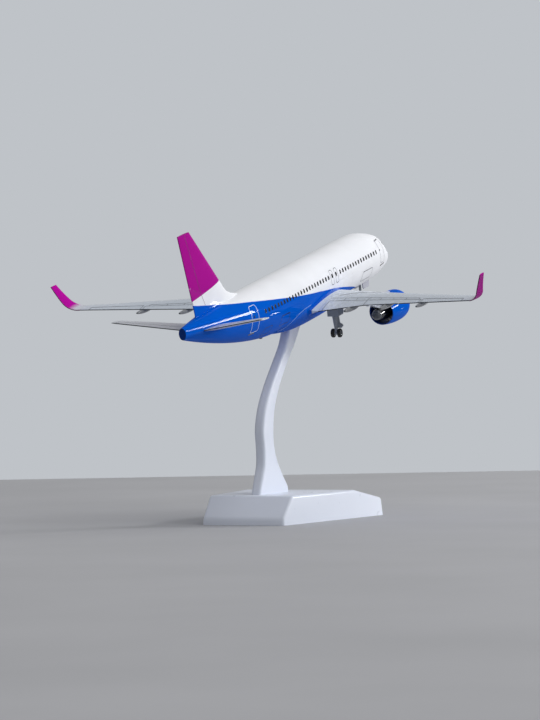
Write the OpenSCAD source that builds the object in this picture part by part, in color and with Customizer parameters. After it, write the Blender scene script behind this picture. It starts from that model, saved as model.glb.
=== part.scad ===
// Airliner model at 1:200, carried nose-up on a one-leg desk stand.
// Frame: +X towards the nose, +Y to port, +Z up, origin under the middle of the base.
// Airframe pieces are drawn in the aircraft's own frame: x = -station, counted back
// from the nose tip, and z = 0 on the centreline of the barrel. fly() puts them in place.

/* [Stand] */
// Length of the base along the aircraft
base_len = 73; // [68:0.1:84]
// Width of the base at its narrow rear edge
base_rear_w = 33.3; // [30:0.1:40]
// Width of the base at its front edge
base_front_w = 53.3; // [46:0.1:62]
// Height of the flat top of the base
base_h = 10.7; // [10:0.1:13]
// Height of the upright band along the rear edge
base_rear_band = 2.6; // [2:0.1:4]
// Height of the front face
base_front_h = 6.9; // [5:0.1:9]
// Run of the slope from the rear edge to the top
base_rear_run = 7.6; // [5:0.1:10]
// Run of the slope from the front edge to the top
base_front_run = 20.3; // [14:0.1:26]
// Inward lean of the side walls over the full height
base_lean = 0.6; // [0.3:0.05:1.2]
// Radius of the moulded edges
base_edge_r = 1; // [0.5:0.1:1.4]
// Wall of the hollow base
base_wall = 1.8; // [1.4:0.1:2.4]
// Thickness of the ribs under the base
base_rib = 1.4; // [1:0.1:2]
// Thickness of the stem
stem_t = 4; // [3.4:0.1:5]
// Radius of the stem's long edges
stem_edge_r = 1.2; // [0.6:0.1:1.6]
// Length of the stem's flared foot
stem_foot_len = 26.6; // [23:0.1:29]
// Length of the stem where it is narrowest
stem_waist_len = 7.7; // [6.8:0.1:9]
// Length of the stem under the belly
stem_top_len = 11.8; // [10.6:0.1:13.4]
// Distance of the middle of the foot behind the middle of the base
stem_foot_x = 11.7; // [10.5:0.1:13]
// Length of the tongues on both ends of the stem
tongue_len = 8; // [7:0.5:9]
// Thickness of the tongues
tongue_t = 2.2; // [1.8:0.1:2.6]
// Reach of the lower tongue into the base
foot_tongue_h = 6.5; // [5.5:0.1:7]
// Reach of the upper tongue into the belly
top_tongue_h = 7; // [5:0.1:7.5]
// Shank radius of the stem screw
screw_r = 0.7; // [0.6:0.05:0.8]
// Head radius of the stem screw
screw_head_r = 1.6; // [1.3:0.05:1.9]

/* [Pose] */
// Nose-up angle of the aircraft
pitch = 12.8; // [9:0.1:16]
// Height of the barrel centreline above the table at the stem
hold_z = 85.8; // [83:0.1:94]
// Distance of the held station ahead of the middle of the base
hold_x = 6.8; // [5:0.1:9]
// Distance of the held station ahead of the wing's inboard trailing edge
hold_ahead = 0.4; // [-1:0.1:2.4]

/* [Fuselage] */
// Length from nose tip to tail cone end
fus_len = 190.1; // [187:0.1:194]
// Width of the barrel
fus_w = 19.75; // [19:0.05:20.5]
// Height of the barrel
fus_h = 20.7; // [20:0.05:21.5]
// Length of the rounded nose
nose_len = 31; // [28:0.5:34]
// Drop of the nose tip below the centreline
nose_drop = 3.6; // [3:0.1:4.2]
// Length of the tail over which the sides close in
tail_side_len = 69.1; // [65:0.1:69.1]
// Length of the tail over which the underside rises
tail_keel_len = 69.1; // [65:0.1:69.1]
// Length of the tail over which the crown falls
tail_crown_len = 53.1; // [49:0.1:58]
// Width of the flat end of the tail cone
cone_w = 2.8; // [2.4:0.1:3.6]
// Height of the top of the tail cone end above the centreline
cone_top = 8; // [7.4:0.1:8.4]
// Height of the bottom of the tail cone end above the centreline
cone_bottom = 3.6; // [3.2:0.1:4]
// Wall of the two hollow shells
shell_wall = 1.8; // [1.4:0.1:2.2]

/* [Centre section] */
// Reach of the centre section ahead of the wing's leading edge on the centreline
centre_ahead = 7.7; // [6:0.1:9.5]
// Reach of the centre section behind the wing's inboard trailing edge
centre_behind = 22.1; // [19.5:0.1:22.1]
// Depth of the split line under the centreline
split_drop = 1; // [0.8:0.1:1.2]
// How far the belly fairing stands below the barrel
belly_drop = 2.1; // [1.6:0.1:2.6]
// How far the belly fairing stands out beside the barrel
belly_out = 1.5; // [1:0.1:1.8]
// Depth of the recess that the top of the stem stands in
seat_sink = 0.4; // [0.3:0.05:0.6]

/* [Wing] */
// Half span to the end of the flat wing panel
wing_semi = 80.8; // [77:0.2:85]
// Distance of the wing joint from the centreline
wing_root_y = 12.6; // [12.4:0.1:13.4]
// Distance of the trailing edge kink from the centreline
wing_kink_y = 32; // [30:0.5:34]
// Station of the leading edge on the centreline
wing_le = 61.7; // [60.7:0.1:62.7]
// Sweep of the leading edge
wing_sweep = 28.6; // [27.4:0.1:29.6]
// Chord on the centreline, back to the straight inboard trailing edge
wing_root_chord = 36.2; // [35.5:0.1:37.2]
// Chord at the tip
wing_tip_chord = 8.8; // [8:0.1:9.6]
// Drop of the wing plane below the centreline at the joint
wing_drop = 5.9; // [5.6:0.1:6.2]
// Dihedral of the wing
wing_dihedral = 4.7; // [3.8:0.1:5.6]
// Nose-up setting of the wing at the joint
wing_twist = 2.5; // [1.5:0.1:3.5]
// Thickness of the wing at the joint, as a share of its chord
wing_root_thick = 0.145; // [0.13:0.005:0.15]
// Thickness of the wing at the tip, as a share of its chord
wing_tip_thick = 0.11; // [0.1:0.005:0.13]
// Thickness of the blunt trailing edges
edge_t = 0.35; // [0.25:0.05:0.5]
// Height of the winglet above the wing tip
winglet_h = 11; // [10:0.1:12.6]
// Lean of the winglet, with 90 upright
winglet_cant = 68; // [64:1:74]
// Radius of the bend from wing to winglet
winglet_bend_r = 5.8; // [4.6:0.1:7]
// Chord at the top of the winglet
winglet_top_chord = 4.3; // [3.8:0.1:5]
// Sweep-back of the winglet's leading edge from foot to top
winglet_rake = 11.4; // [10.4:0.1:12.6]
// Length of the wing's plug-in tongue
plug_len = 12; // [10:0.5:14]
// Reach of the wing's plug-in tongue into the centre section
plug_in = 5; // [4:0.1:5.5]
// Thickness of the wing's plug-in tongue
plug_t = 1.6; // [1.2:0.1:1.9]
// Distance of the inner flap-track fairing from the centreline
track_inner_y = 25.8; // [24.6:0.1:26.6]
// Distance of the middle flap-track fairing from the centreline
track_middle_y = 44; // [40:0.1:48]
// Distance of the outer flap-track fairing from the centreline
track_outer_y = 58.8; // [56:0.1:62]
// Greatest radius of the inner flap-track fairing
track_r = 1.1; // [0.9:0.05:1.25]
// Length of the fairings ahead of the trailing edge
track_lead = 10; // [8:0.1:11]
// Reach of the middle fairing behind the trailing edge
track_reach = 4.6; // [3.8:0.1:5.4]

/* [Tail] */
// Distance of the tailplane's leading edge on the centreline ahead of the tail cone end
stab_ahead = 30.5; // [29.5:0.1:31.5]
// Half span of the tailplane
stab_semi = 29.8; // [28:0.1:32]
// Sweep of the tailplane's leading edge
stab_sweep = 33.7; // [32:0.1:35.5]
// Chord of the tailplane on the centreline
stab_root_chord = 19.3; // [18:0.1:20]
// Chord of the tailplane at its tip
stab_tip_chord = 6.9; // [6:0.05:7.6]
// Height of the tailplane above the centreline at its root
stab_rise = 1.8; // [1.4:0.1:2.4]
// Dihedral of the tailplane
stab_dihedral = 13.4; // [12:0.2:14.4]
// Setting of the tailplane, leading edge down
stab_set = 6.8; // [5:0.2:8]
// Distance of the tailplane's plugged end from the centreline
stab_plug_y = 2.6; // [2.4:0.1:3]
// Height of the fin's tip above the centreline
fin_top = 40.1; // [38:0.1:42]
// Distance of the fin's leading edge at the crown ahead of the tail cone end
fin_ahead = 41.9; // [40.5:0.1:43.5]
// Distance of the fin's leading edge at the tip ahead of the tail cone end
fin_tip_ahead = 14.3; // [12.9:0.1:15.9]
// Distance of the fin's trailing edge at the crown ahead of the tail cone end
fin_te_ahead = 11.9; // [10.9:0.1:12.9]
// Distance of the fin's trailing edge at the tip ahead of the tail cone end
fin_tip_te_ahead = 4.9; // [3.5:0.1:5.5]
// Thickness of the fin at the crown
fin_root_t = 2.7; // [2.4:0.05:3]
// Thickness of the fin at the tip
fin_tip_t = 0.95; // [0.8:0.05:1.2]
// Forward reach of the fillet in front of the fin
fin_fillet = 7; // [5:0.1:9]
// Height of the fillet in front of the fin
fin_fillet_h = 4; // [3:0.1:5]
// Reach of the fin's plug into the crown
fin_plug_in = 3.05; // [2.5:0.05:3.5]

/* [Engines] */
// Distance of the engines from the centreline
eng_y = 30.5; // [29.8:0.1:31.4]
// Drop of the engine centreline below the barrel centreline
eng_drop = 11.6; // [11.3:0.1:12]
// Distance of the air inlet ahead of the wing's leading edge
inlet_ahead = 16.83; // [15.73:0.05:18.13]
// Length of the outer cowl
cowl_len = 16.8; // [15.6:0.1:18]
// Greatest radius of the outer cowl
cowl_r = 6.1; // [6:0.05:6.3]
// Outer radius at the fan nozzle
cowl_exit_r = 4.95; // [4.85:0.05:5.2]
// Radius of the crown of the inlet lip
lip_r = 5.1; // [5:0.05:5.4]
// Radius of the duct round the fan
duct_r = 4.6; // [4.5:0.05:4.7]
// Distance of the fan's rear face behind the inlet
fan_depth = 5.2; // [4.8:0.1:5.8]
// Thickness of the fan hub
fan_hub_t = 1.7; // [1.5:0.1:2]
// Number of fan blades
fan_blades = 18; // [12:1:22]
// Radius of the fan's pin
fan_pin_r = 0.5; // [0.45:0.05:0.6]
// Length of the core cowl behind the fan
core_len = 15.4; // [14:0.1:17]
// Greatest radius of the core cowl
core_r = 3.4; // [3.2:0.1:3.5]
// Radius of the core nozzle
core_exit_r = 2.1; // [1.9:0.05:2.3]
// Thickness of the pylon
pylon_t = 1.6; // [1.3:0.1:1.9]

/* [Landing gear] */
// Distance of the main wheels ahead of the wing's inboard trailing edge
main_ahead = 6; // [5.1:0.1:6.9]
// Distance of the main legs from the centreline
main_y = 16.8; // [16.2:0.1:17.6]
// Drop of the main axles below the barrel centreline
main_axle_drop = 16.4; // [16:0.1:17.6]
// Radius of the main tyres
main_tyre_r = 1.75; // [1.6:0.05:2]
// Width of a main tyre
main_tyre_w = 1.15; // [1:0.05:1.3]
// Distance between the two wheels of a main leg
main_wheel_gap = 2.7; // [2.6:0.05:3]
// Station of the nose wheels
nose_station = 25; // [24:0.1:26]
// Radius of the nose tyres
nose_tyre_r = 1.2; // [1.1:0.05:1.35]
// Width of a nose tyre
nose_tyre_w = 0.75; // [0.7:0.05:0.9]
// Distance between the two nose wheels
nose_wheel_gap = 1.9; // [1.8:0.05:2.2]
// Radius of the axles
axle_r = 0.4; // [0.35:0.05:0.45]

/* [Fits] */
// Gap round a tongue in its slot
slot_gap = 0.05; // [0.03:0.01:0.1]
// Gap round a turning pin or axle
run_gap = 0.05; // [0.03:0.01:0.08]
// Gap round the top of the stem in its recess
stem_gap = 0.12; // [0.08:0.01:0.2]
// Glue gap between a pylon or leg and the wing
glue_gap = 0.03; // [0.02:0.01:0.05]

/* [Hidden] */
$fn = 48;
white = "#eef0f5";
blue = "#0a62d6";
magenta = "#9c1e8a";
wing_grey = "#b4bcc4";
gear_grey = "#5a5f68";
dark_metal = "#4a4e55";
tyre_black = "#151515";

// Stations that follow from the wing and from the length
wing_te = wing_le + wing_root_chord;
centre_front = wing_le - centre_ahead;
centre_rear = wing_te + centre_behind;
hold_station = wing_te - hold_ahead;
main_station = wing_te - main_ahead;
stab_le = fus_len - stab_ahead;
fin_le = fus_len - fin_ahead;
fin_tip_le = fus_len - fin_tip_ahead;
fin_te = fus_len - fin_te_ahead;
fin_tip_te = fus_len - fin_tip_te_ahead;

// Small helpers
function mix(a, b, t) = a + (b - a) * t;
function ease(t) = let (c = max(0, min(1, t))) c * c * (3 - 2 * c);
function share(v, from, to) = max(0, min(1, (v - from) / (to - from)));
// Curve through b and c, shaped by their neighbours a and d
function through(a, b, c, d, t) =
    0.5 * (2 * b + (c - a) * t + (2 * a - 5 * b + 4 * c - d) * t * t
    + (3 * b - a - 3 * c + d) * t * t * t);
function row_curve(rows, k, col) =
    let (last = len(rows) - 1, i = min(last - 1, floor(k)), t = k - i)
    through(rows[max(0, i - 1)][col], rows[i][col], rows[i + 1][col], rows[min(last, i + 2)][col], t);
function flat(lists) = [for (l = lists) for (p = l) p];

// Solid through closed rings of equal length, which run clockwise seen from outside the first one
module loft(rings) {
    m = len(rings[0]);
    n = len(rings);
    sides = [for (i = [0 : n - 2]) for (j = [0 : m - 1]) let (
        a = i * m + j,
        b = i * m + (j + 1) % m,
        c = a + m,
        d = b + m
    ) each [[b, a, c], [b, c, d]]];
    first = [[for (j = [0 : m - 1]) j]];
    last = [[for (j = [m - 1 : -1 : 0]) (n - 1) * m + j]];
    polyhedron(points = flat(rings), faces = concat(first, sides, last), convexity = 8);
}

// Places the aircraft on its stand
module fly() {
    translate([hold_x, 0, hold_z]) rotate([0, -pitch, 0]) translate([hold_station, 0, 0]) children();
}
// The same, for a point given as station and height
function fly_point(s, z) = let (a = hold_station - s) [
    hold_x + a * cos(pitch) - z * sin(pitch),
    hold_z + a * sin(pitch) + z * cos(pitch)
];
// Keeps a port piece, or mirrors it to starboard
module on_side(side) {
    if (side > 0) children();
    else mirror([0, 1, 0]) children();
}

// Shape of the fuselage
nose_tip = 0.03;
screen_foot = 0.25;
screen_head = 0.43;
screen_foot_rise = 0.45;
screen_head_rise = 0.79;
function crown_rise(t) =
    t < screen_foot ? screen_foot_rise * sqrt(t / screen_foot)
    : t < screen_head
        ? mix(screen_foot_rise, screen_head_rise, (t - screen_foot) / (screen_head - screen_foot))
    : mix(screen_head_rise, 1, sin(90 * (t - screen_head) / (1 - screen_head)));
function nose_swell(s) = let (t = min(1, s / nose_len)) sqrt(1 - (1 - t) * (1 - t));
function crown(s) = s < nose_len
    ? mix(-nose_drop, fus_h / 2, crown_rise(s / nose_len))
    : mix(fus_h / 2, cone_top, pow(share(s, fus_len - tail_crown_len, fus_len), 2.2));
function keel(s) = s < nose_len
    ? -nose_drop - (fus_h / 2 - nose_drop) * nose_swell(s)
    : mix(-fus_h / 2, cone_bottom, pow(share(s, fus_len - tail_keel_len, fus_len), 1.5));
function half_w(s) = s < nose_len
    ? fus_w / 2 * nose_swell(s)
    : mix(fus_w / 2, cone_w / 2, pow(share(s, fus_len - tail_side_len, fus_len), 1.75));
function skin_point(s, a, grow) = let (up = crown(s), down = keel(s)) [
    -s,
    (half_w(s) + grow) * sin(a),
    (up + down) / 2 + ((up - down) / 2 + grow) * cos(a)
];
half_steps = 18;
nose_rings = 13;
tail_rings = 14;
tail_start = fus_len - tail_side_len;
skin_stations = concat(
    [for (i = [0 : nose_rings]) mix(nose_tip, nose_len, pow(i / nose_rings, 1.7))],
    [centre_front],
    [for (i = [0 : tail_rings]) mix(tail_start, fus_len, i / tail_rings)]
);
module half_skin() {
    loft([for (s = skin_stations) [for (i = [0 : half_steps]) skin_point(s, 180 * i / half_steps, 0)]]);
}
cavity_front = 9;
cavity_end = 17.1;
cavity_rings = 14;
cavity_steps = 16;
module cavity() {
    stations = [for (i = [0 : cavity_rings]) mix(cavity_front, fus_len - cavity_end, i / cavity_rings)];
    turns = [for (j = [0 : cavity_steps - 1]) 360 * j / cavity_steps];
    loft([for (s = stations) [for (a = turns) skin_point(s, a, -shell_wall)]]);
}

// Wing sections. A ring runs from the upper trailing edge over the nose to the lower one.
foil_steps = 9;
foil_camber = 0.012;
function foil_half(x) =
    5 * (0.2969 * sqrt(x) - 0.126 * x - 0.3516 * x * x + 0.2843 * pow(x, 3) - 0.1036 * pow(x, 4));
function foil(chord, thick, camber, edge, grow) = let (
    xs = [for (i = [0 : foil_steps]) (1 - cos(180 * i / foil_steps)) / 2]
) concat(
    [for (i = [foil_steps : -1 : 0]) let (x = xs[i]) [
        x * (chord + 2 * grow) - grow,
        chord * (thick * foil_half(x) + 4 * camber * x * (1 - x)) + edge / 2 * x + (i > 0 ? grow : 0)
    ]],
    [for (i = [1 : foil_steps]) let (x = xs[i]) [
        x * (chord + 2 * grow) - grow,
        chord * (4 * camber * x * (1 - x) - thick * foil_half(x)) - edge / 2 * x - grow
    ]]
);
// One section standing in the aircraft: le is its leading edge, cant its lean, twist its setting
function standing(ring, le, cant, twist) = [for (p = ring) let (
    back = p[0] * cos(twist) + p[1] * sin(twist),
    up = p[1] * cos(twist) - p[0] * sin(twist)
) [le[0] - back, le[1] - up * sin(cant), le[2] + up * cos(cant)]];

// Wing
function wing_le_at(y) = wing_le + y * tan(wing_sweep);
wing_tip_te = wing_le_at(wing_semi) + wing_tip_chord;
function wing_te_at(y) = mix(wing_te, wing_tip_te, max(0, y - wing_kink_y) / (wing_semi - wing_kink_y));
function wing_chord(y) = wing_te_at(y) - wing_le_at(y);
function wing_z(y) = -wing_drop + (y - wing_root_y) * tan(wing_dihedral);
function wing_share(y) = share(y, wing_root_y, wing_semi);
function wing_set(y) = wing_twist * (1 - 1.3 * wing_share(y));
function wing_thick(y) = mix(wing_root_thick, wing_tip_thick, wing_share(y));
// The wing turns about its middle chord, so the leading edge lifts by half the turn
function wing_ring(y, grow) = let (c = wing_chord(y), set = wing_set(y)) standing(
    foil(c, wing_thick(y), foil_camber, edge_t, grow),
    [-wing_le_at(y), y, wing_z(y) + c / 2 * sin(set)], 0, set
);
module wing_panel(grow) {
    spans = [wing_root_y, mix(wing_root_y, wing_kink_y, 0.5), wing_kink_y,
        mix(wing_kink_y, wing_semi, 0.25), mix(wing_kink_y, wing_semi, 0.5),
        mix(wing_kink_y, wing_semi, 0.75), wing_semi];
    loft([for (y = spans) wing_ring(y, grow)]);
}
plug_x = wing_le_at(wing_root_y) + 0.38 * wing_chord(wing_root_y);
plug_z = wing_z(wing_root_y) + 0.1;
module wing_plug(gap) {
    translate([-plug_x - plug_len / 2 - gap, wing_root_y - plug_in - gap, plug_z - plug_t / 2 - gap])
        cube([plug_len + 2 * gap, plug_in + gap + 1, plug_t + 2 * gap]);
}
// Fairings of the flap tracks: distance from the centreline, reach behind the edge, radius
flap_tracks = [
    [track_inner_y, 0.83 * track_reach, track_r],
    [track_middle_y, track_reach, 0.86 * track_r],
    [track_outer_y, 0.78 * track_reach, 0.73 * track_r]
];
track_drop = 0.35;
module flap_track(y, overhang, r) {
    length = track_lead + overhang;
    profile = [for (i = [0 : 10]) let (t = i / 10) [max(0, r * pow(sin(180 * t), 0.7)), length * t]];
    translate([-(wing_te_at(y) - track_lead), y, wing_z(y) - track_drop - 0.45 * r])
        rotate([0, -90, 0])
            rotate_extrude($fn = 24) polygon(profile);
}
gear_pin_r = 0.6;
gear_pin_h = 0.9;
module wing(side) {
    color(wing_grey) fly() on_side(side) difference() {
        union() {
            wing_panel(0);
            wing_plug(0);
            for (t = flap_tracks) flap_track(t[0], t[1], t[2]);
        }
        translate([-main_station, main_y, leg_top_z - 1])
            cylinder(h = 1 + gear_pin_h + slot_gap, r = gear_pin_r + slot_gap);
    }
}
module wing_left() { wing(1); }
module wing_right() { wing(-1); }

// Winglet, lofted from the wing's tip section round the bend to its top
bend_rings = 5;
blade_rings = 3;
rake_ease = 0.55;
chord_ease = 0.8;
bend_end_y = winglet_bend_r * (sin(winglet_cant) - sin(wing_dihedral));
bend_end_z = winglet_bend_r * (cos(wing_dihedral) - cos(winglet_cant));
function winglet_point(k) = k <= bend_rings
    ? let (a = mix(wing_dihedral, winglet_cant, k / bend_rings)) [
        winglet_bend_r * (sin(a) - sin(wing_dihedral)),
        winglet_bend_r * (cos(wing_dihedral) - cos(a)), a]
    : let (rise = (winglet_h - bend_end_z) * (k - bend_rings) / blade_rings) [
        bend_end_y + rise / tan(winglet_cant), bend_end_z + rise, winglet_cant];
module winglet(side) {
    set = wing_set(wing_semi);
    foot_z = wing_z(wing_semi) + wing_tip_chord / 2 * sin(set);
    rings = [for (k = [0 : bend_rings + blade_rings]) let (
        p = winglet_point(k),
        up = p[1] / winglet_h,
        chord = mix(wing_tip_chord, winglet_top_chord, pow(up, chord_ease))
    ) standing(
        foil(chord, mix(wing_tip_thick, 0.09, up), foil_camber, edge_t, 0),
        [-(wing_le_at(wing_semi) + winglet_rake * pow(up, rake_ease)), wing_semi + p[0], foot_z + p[1]],
        k == 0 ? 0 : p[2], mix(set, 0, min(1, up * 2))
    )];
    color(magenta) fly() on_side(side) loft(rings);
}
module winglet_left() { winglet(1); }
module winglet_right() { winglet(-1); }

// Centre section: belly fairing with the wing stubs, closed above by the split plane
split_z = -split_drop;
belly_rings = 16;
belly_steps = 20;
function belly_swell(s) = 1 - pow(abs(2 * share(s, centre_front, centre_rear) - 1), 3.2);
function belly_point(s, t) = let (
    f = belly_swell(s),
    mid = (crown(s) + keel(s)) / 2,
    tall = (crown(s) - keel(s)) / 2,
    a0 = acos((mid - split_z) / tall),
    a = a0 * t,
    hug = [half_w(s) * sin(a), mid - tall * cos(a)],
    squash = 1 - 0.3 * f,
    lean = pow(cos(90 * t), 0.5),
    full = [
        (half_w(s) + belly_out * f) * sign(t) * pow(abs(sin(a)), squash),
        mid - (tall + belly_drop * f) * pow(cos(a), squash)
    ]
) [
    -s,
    mix(hug[0], full[0], lean),
    abs(t) > 0.999 ? split_z : min(split_z - 0.02, mix(hug[1], full[1], lean))
];
module belly() {
    stations = [for (i = [0 : belly_rings]) mix(centre_front, centre_rear, ease(i / belly_rings))];
    loft([for (s = stations) [for (j = [0 : belly_steps]) belly_point(s, 1 - 2 * j / belly_steps)]]);
}
// Root fillet: the wing section swells towards the body
stub_reach = 3.8;
stub_swell = 1.1;
function stub_ring(y) = let (
    near = (wing_root_y - abs(y)) / stub_reach,
    c = wing_chord(wing_root_y),
    set = wing_twist
) [for (p = standing(
    foil(c, wing_root_thick, foil_camber, edge_t, stub_swell * near * near),
    [-wing_le_at(wing_root_y), 0, wing_z(wing_root_y) + c / 2 * sin(set)], 0, set
)) [p[0], y, p[2]]];
module wing_stubs() {
    inward = [for (t = [0, 0.35, 0.7, 1]) wing_root_y - stub_reach * t];
    ys = concat([for (i = [0 : 3]) -inward[i]], [for (i = [3 : -1 : 0]) inward[i]]);
    loft([for (y = ys) stub_ring(y)]);
}
belly_z = -fus_h / 2 - belly_drop;
seat_z = belly_z + seat_sink;
seat_ahead = 1.5;
seat_station = hold_station - seat_ahead;
module centre_section() {
    color(white) fly() difference() {
        union() {
            belly();
            wing_stubs();
        }
        for (side = [1, -1]) on_side(side) wing_plug(slot_gap);
        translate([-seat_station, 0, seat_z - 3])
            linear_extrude(3) stem_outline(stem_top_len + 2 * stem_gap, stem_t + 2 * stem_gap, stem_edge_r);
        translate([-seat_station - tongue_len / 2 - slot_gap, -tongue_t / 2 - slot_gap, seat_z - 1])
            cube([tongue_len + 2 * slot_gap, tongue_t + 2 * slot_gap, 1 + top_tongue_h + slot_gap]);
    }
}

// Fuselage shells
module nose_leg_socket(gap) {
    translate([-nose_station, 0, -fus_h / 2 - 2])
        cylinder(h = 2 + nose_plug_h + gap, r = nose_plug_r + gap);
}
module fuselage_half(side) {
    color(white) fly() on_side(side) difference() {
        half_skin();
        cavity();
        translate([-centre_rear, -1, -fus_h]) cube([centre_rear - centre_front, fus_w, fus_h + split_z]);
        fin_blank(slot_gap);
        tailplane_blank(slot_gap);
        nose_leg_socket(slot_gap);
        nose_door_blank(slot_gap);
    }
}
module fuselage_left() { fuselage_half(1); }
module fuselage_right() { fuselage_half(-1); }

// Fin, with its plug and the fillet in front
fin_crown_z = fus_h / 2;
fin_plug_z = fin_crown_z - fin_plug_in;
function fin_le_at(z) = mix(fin_le, fin_tip_le, share(z, fin_crown_z, fin_top))
    - fin_fillet * pow(1 - share(z, fin_crown_z, fin_crown_z + fin_fillet_h), 2.2);
function fin_te_at(z) = mix(fin_te, fin_tip_te, share(z, fin_crown_z, fin_top));
function fin_ring(z, grow) = let (
    le = fin_le_at(z),
    chord = fin_te_at(z) - le,
    thick = mix(fin_root_t, fin_tip_t, share(z, fin_crown_z, fin_top)),
    ring = foil(chord, thick / chord, 0, edge_t, grow)
) [for (i = [0 : len(ring) - 1]) [-le - ring[i][0], -ring[i][1], z]];
module fin_blank(grow) {
    heights = concat(
        [fin_plug_z - grow],
        [for (r = [0 : 6]) fin_crown_z + fin_fillet_h * r / 6],
        [mix(fin_crown_z, fin_top, 0.5), fin_top]
    );
    loft([for (z = heights) fin_ring(z, grow)]);
}
module fin() {
    color(magenta) fly() fin_blank(0);
}

// Tailplane halves, which plug into slots in the tail
stab_thick = 0.1;
function stab_ring(y, grow) = let (t = y / stab_semi) standing(
    foil(mix(stab_root_chord, stab_tip_chord, t), stab_thick, 0, edge_t, grow),
    [-(stab_le + y * tan(stab_sweep)), y, stab_rise + y * tan(stab_dihedral)], 0, -stab_set
);
module tailplane_blank(grow) {
    loft([for (y = [stab_plug_y - grow, stab_semi * 0.5, stab_semi * 0.96]) stab_ring(y, grow)]);
}
module tailplane(side) {
    color(wing_grey) fly() on_side(side) loft([
        stab_ring(stab_plug_y, 0), stab_ring(stab_semi * 0.5, 0),
        stab_ring(stab_semi * 0.96, 0), stab_ring(stab_semi, -0.08)
    ]);
}
module tailplane_left() { tailplane(1); }
module tailplane_right() { tailplane(-1); }

// Engines. Profiles are radius and distance behind the inlet.
inlet_station = wing_le_at(eng_y) - inlet_ahead;
module on_engine() {
    translate([-inlet_station, eng_y, -eng_drop]) rotate([0, -90, 0]) children();
}
throat_r = 4.45;
throat_depth = 1.8;
cowl_belly_depth = 4.5;
cowl_edge_t = 0.3;
pylon_clear = 0.05;
module cowl_profile() {
    outer_front = [for (i = [0 : 8]) let (a = 90 * i / 8) [
        lip_r + (cowl_r - lip_r) * sin(a), cowl_belly_depth * (1 - cos(a))]];
    outer_rear = [for (i = [1 : 8]) let (t = i / 8) [
        mix(cowl_r, cowl_exit_r, t * t), mix(cowl_belly_depth, cowl_len, t)]];
    duct = [[cowl_exit_r - cowl_edge_t, cowl_len], [duct_r, fan_depth + 3], [duct_r, throat_depth + 1]];
    inner_front = [for (i = [0 : 5]) let (a = 90 * i / 6) [
        throat_r + (lip_r - throat_r) * (1 - cos(a)), throat_depth * (1 - sin(a))]];
    polygon(concat(outer_front, outer_rear, duct, inner_front));
}
module cowl(side) {
    color(blue) fly() on_side(side) difference() {
        on_engine() rotate_extrude($fn = 64) cowl_profile();
        translate([-inlet_station - cowl_len - 1, eng_y - pylon_t / 2 - pylon_clear, -eng_drop])
            cube([1 + cowl_len - pylon_start, pylon_t + 2 * pylon_clear, cowl_r + 1]);
    }
}
module cowl_left() { cowl(1); }
module cowl_right() { cowl(-1); }

pylon_start = 6.2;
core_front = fan_depth + 0.5;
core_end = core_front + core_len;
module core_profile() {
    front = [for (i = [0 : 6]) let (a = 90 * i / 6) [
        mix(1.6, core_r, sin(a)), core_front + 4 * (1 - cos(a))]];
    rear = [for (i = [1 : 6]) let (t = i / 6) [
        mix(core_r, core_exit_r, t * t), mix(core_front + 4, core_end, t)]];
    polygon(concat([[0, core_front]], front, rear, [[core_exit_r - 0.25, core_end],
        [core_exit_r - 0.35, core_end - 1.6], [0, core_end - 1.6]]));
}
pin_head_r = 0.8;
pin_head_h = 0.5;
pin_play = 0.3;
pin_front = fan_depth - fan_hub_t - pin_play - pin_head_h;
pylon_tail = 8;
module engine_core(side) {
    tail_s = wing_te_at(eng_y) - pylon_tail;
    nose_s = inlet_station + pylon_start;
    top_z = cowl_r - eng_drop;
    core_top = core_r - eng_drop;
    color(dark_metal) fly() on_side(side) union() {
        on_engine() rotate_extrude($fn = 48) core_profile();
        on_engine() translate([0, 0, pin_front]) {
            cylinder(h = core_front + 0.5 - pin_front, r = fan_pin_r, $fn = 32);
            cylinder(h = pin_head_h, r = pin_head_r, $fn = 32);
        }
        difference() {
            translate([0, eng_y + pylon_t / 2, 0]) rotate([90, 0, 0])
                linear_extrude(pylon_t) polygon([
                    [-nose_s, top_z - 0.8], [-nose_s - 2, top_z + 0.5], [-nose_s - 7, top_z + 1.1],
                    [-nose_s - 14, top_z + 1.6], [-tail_s + 4, top_z + 0.6], [-tail_s, wing_z(eng_y) - 1.6],
                    [-tail_s + 1.5, wing_z(eng_y) - 2.6], [-tail_s + 8, core_top + 0.4],
                    [-nose_s - 8, core_top - 2], [-nose_s - 1, core_top - 1.4], [-nose_s, core_top + 0.6]
                ]);
            wing_panel(glue_gap);
        }
    }
}
module engine_core_left() { engine_core(1); }
module engine_core_right() { engine_core(-1); }

plug_cone_len = 4.2;
module exhaust_plug(side) {
    base_h0 = core_end - 1.6;
    cone = [for (i = [0 : 8]) let (t = i / 8) [mix(1.25, 0.25, t * t), base_h0 + plug_cone_len * t]];
    color(dark_metal) fly() on_side(side) on_engine()
        rotate_extrude($fn = 32) polygon(concat([[0, base_h0]], cone, [[0, base_h0 + plug_cone_len]]));
}
module exhaust_plug_left() { exhaust_plug(1); }
module exhaust_plug_right() { exhaust_plug(-1); }

// Fan: twisted blades on a hub that turns on the core's pin
fan_hub_r = 1.6;
blade_tip_gap = 0.2;
blade_t = 0.22;
blade_sink = 0.4;
blade_root_turn = 28;
blade_tip_turn = 62;
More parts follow.
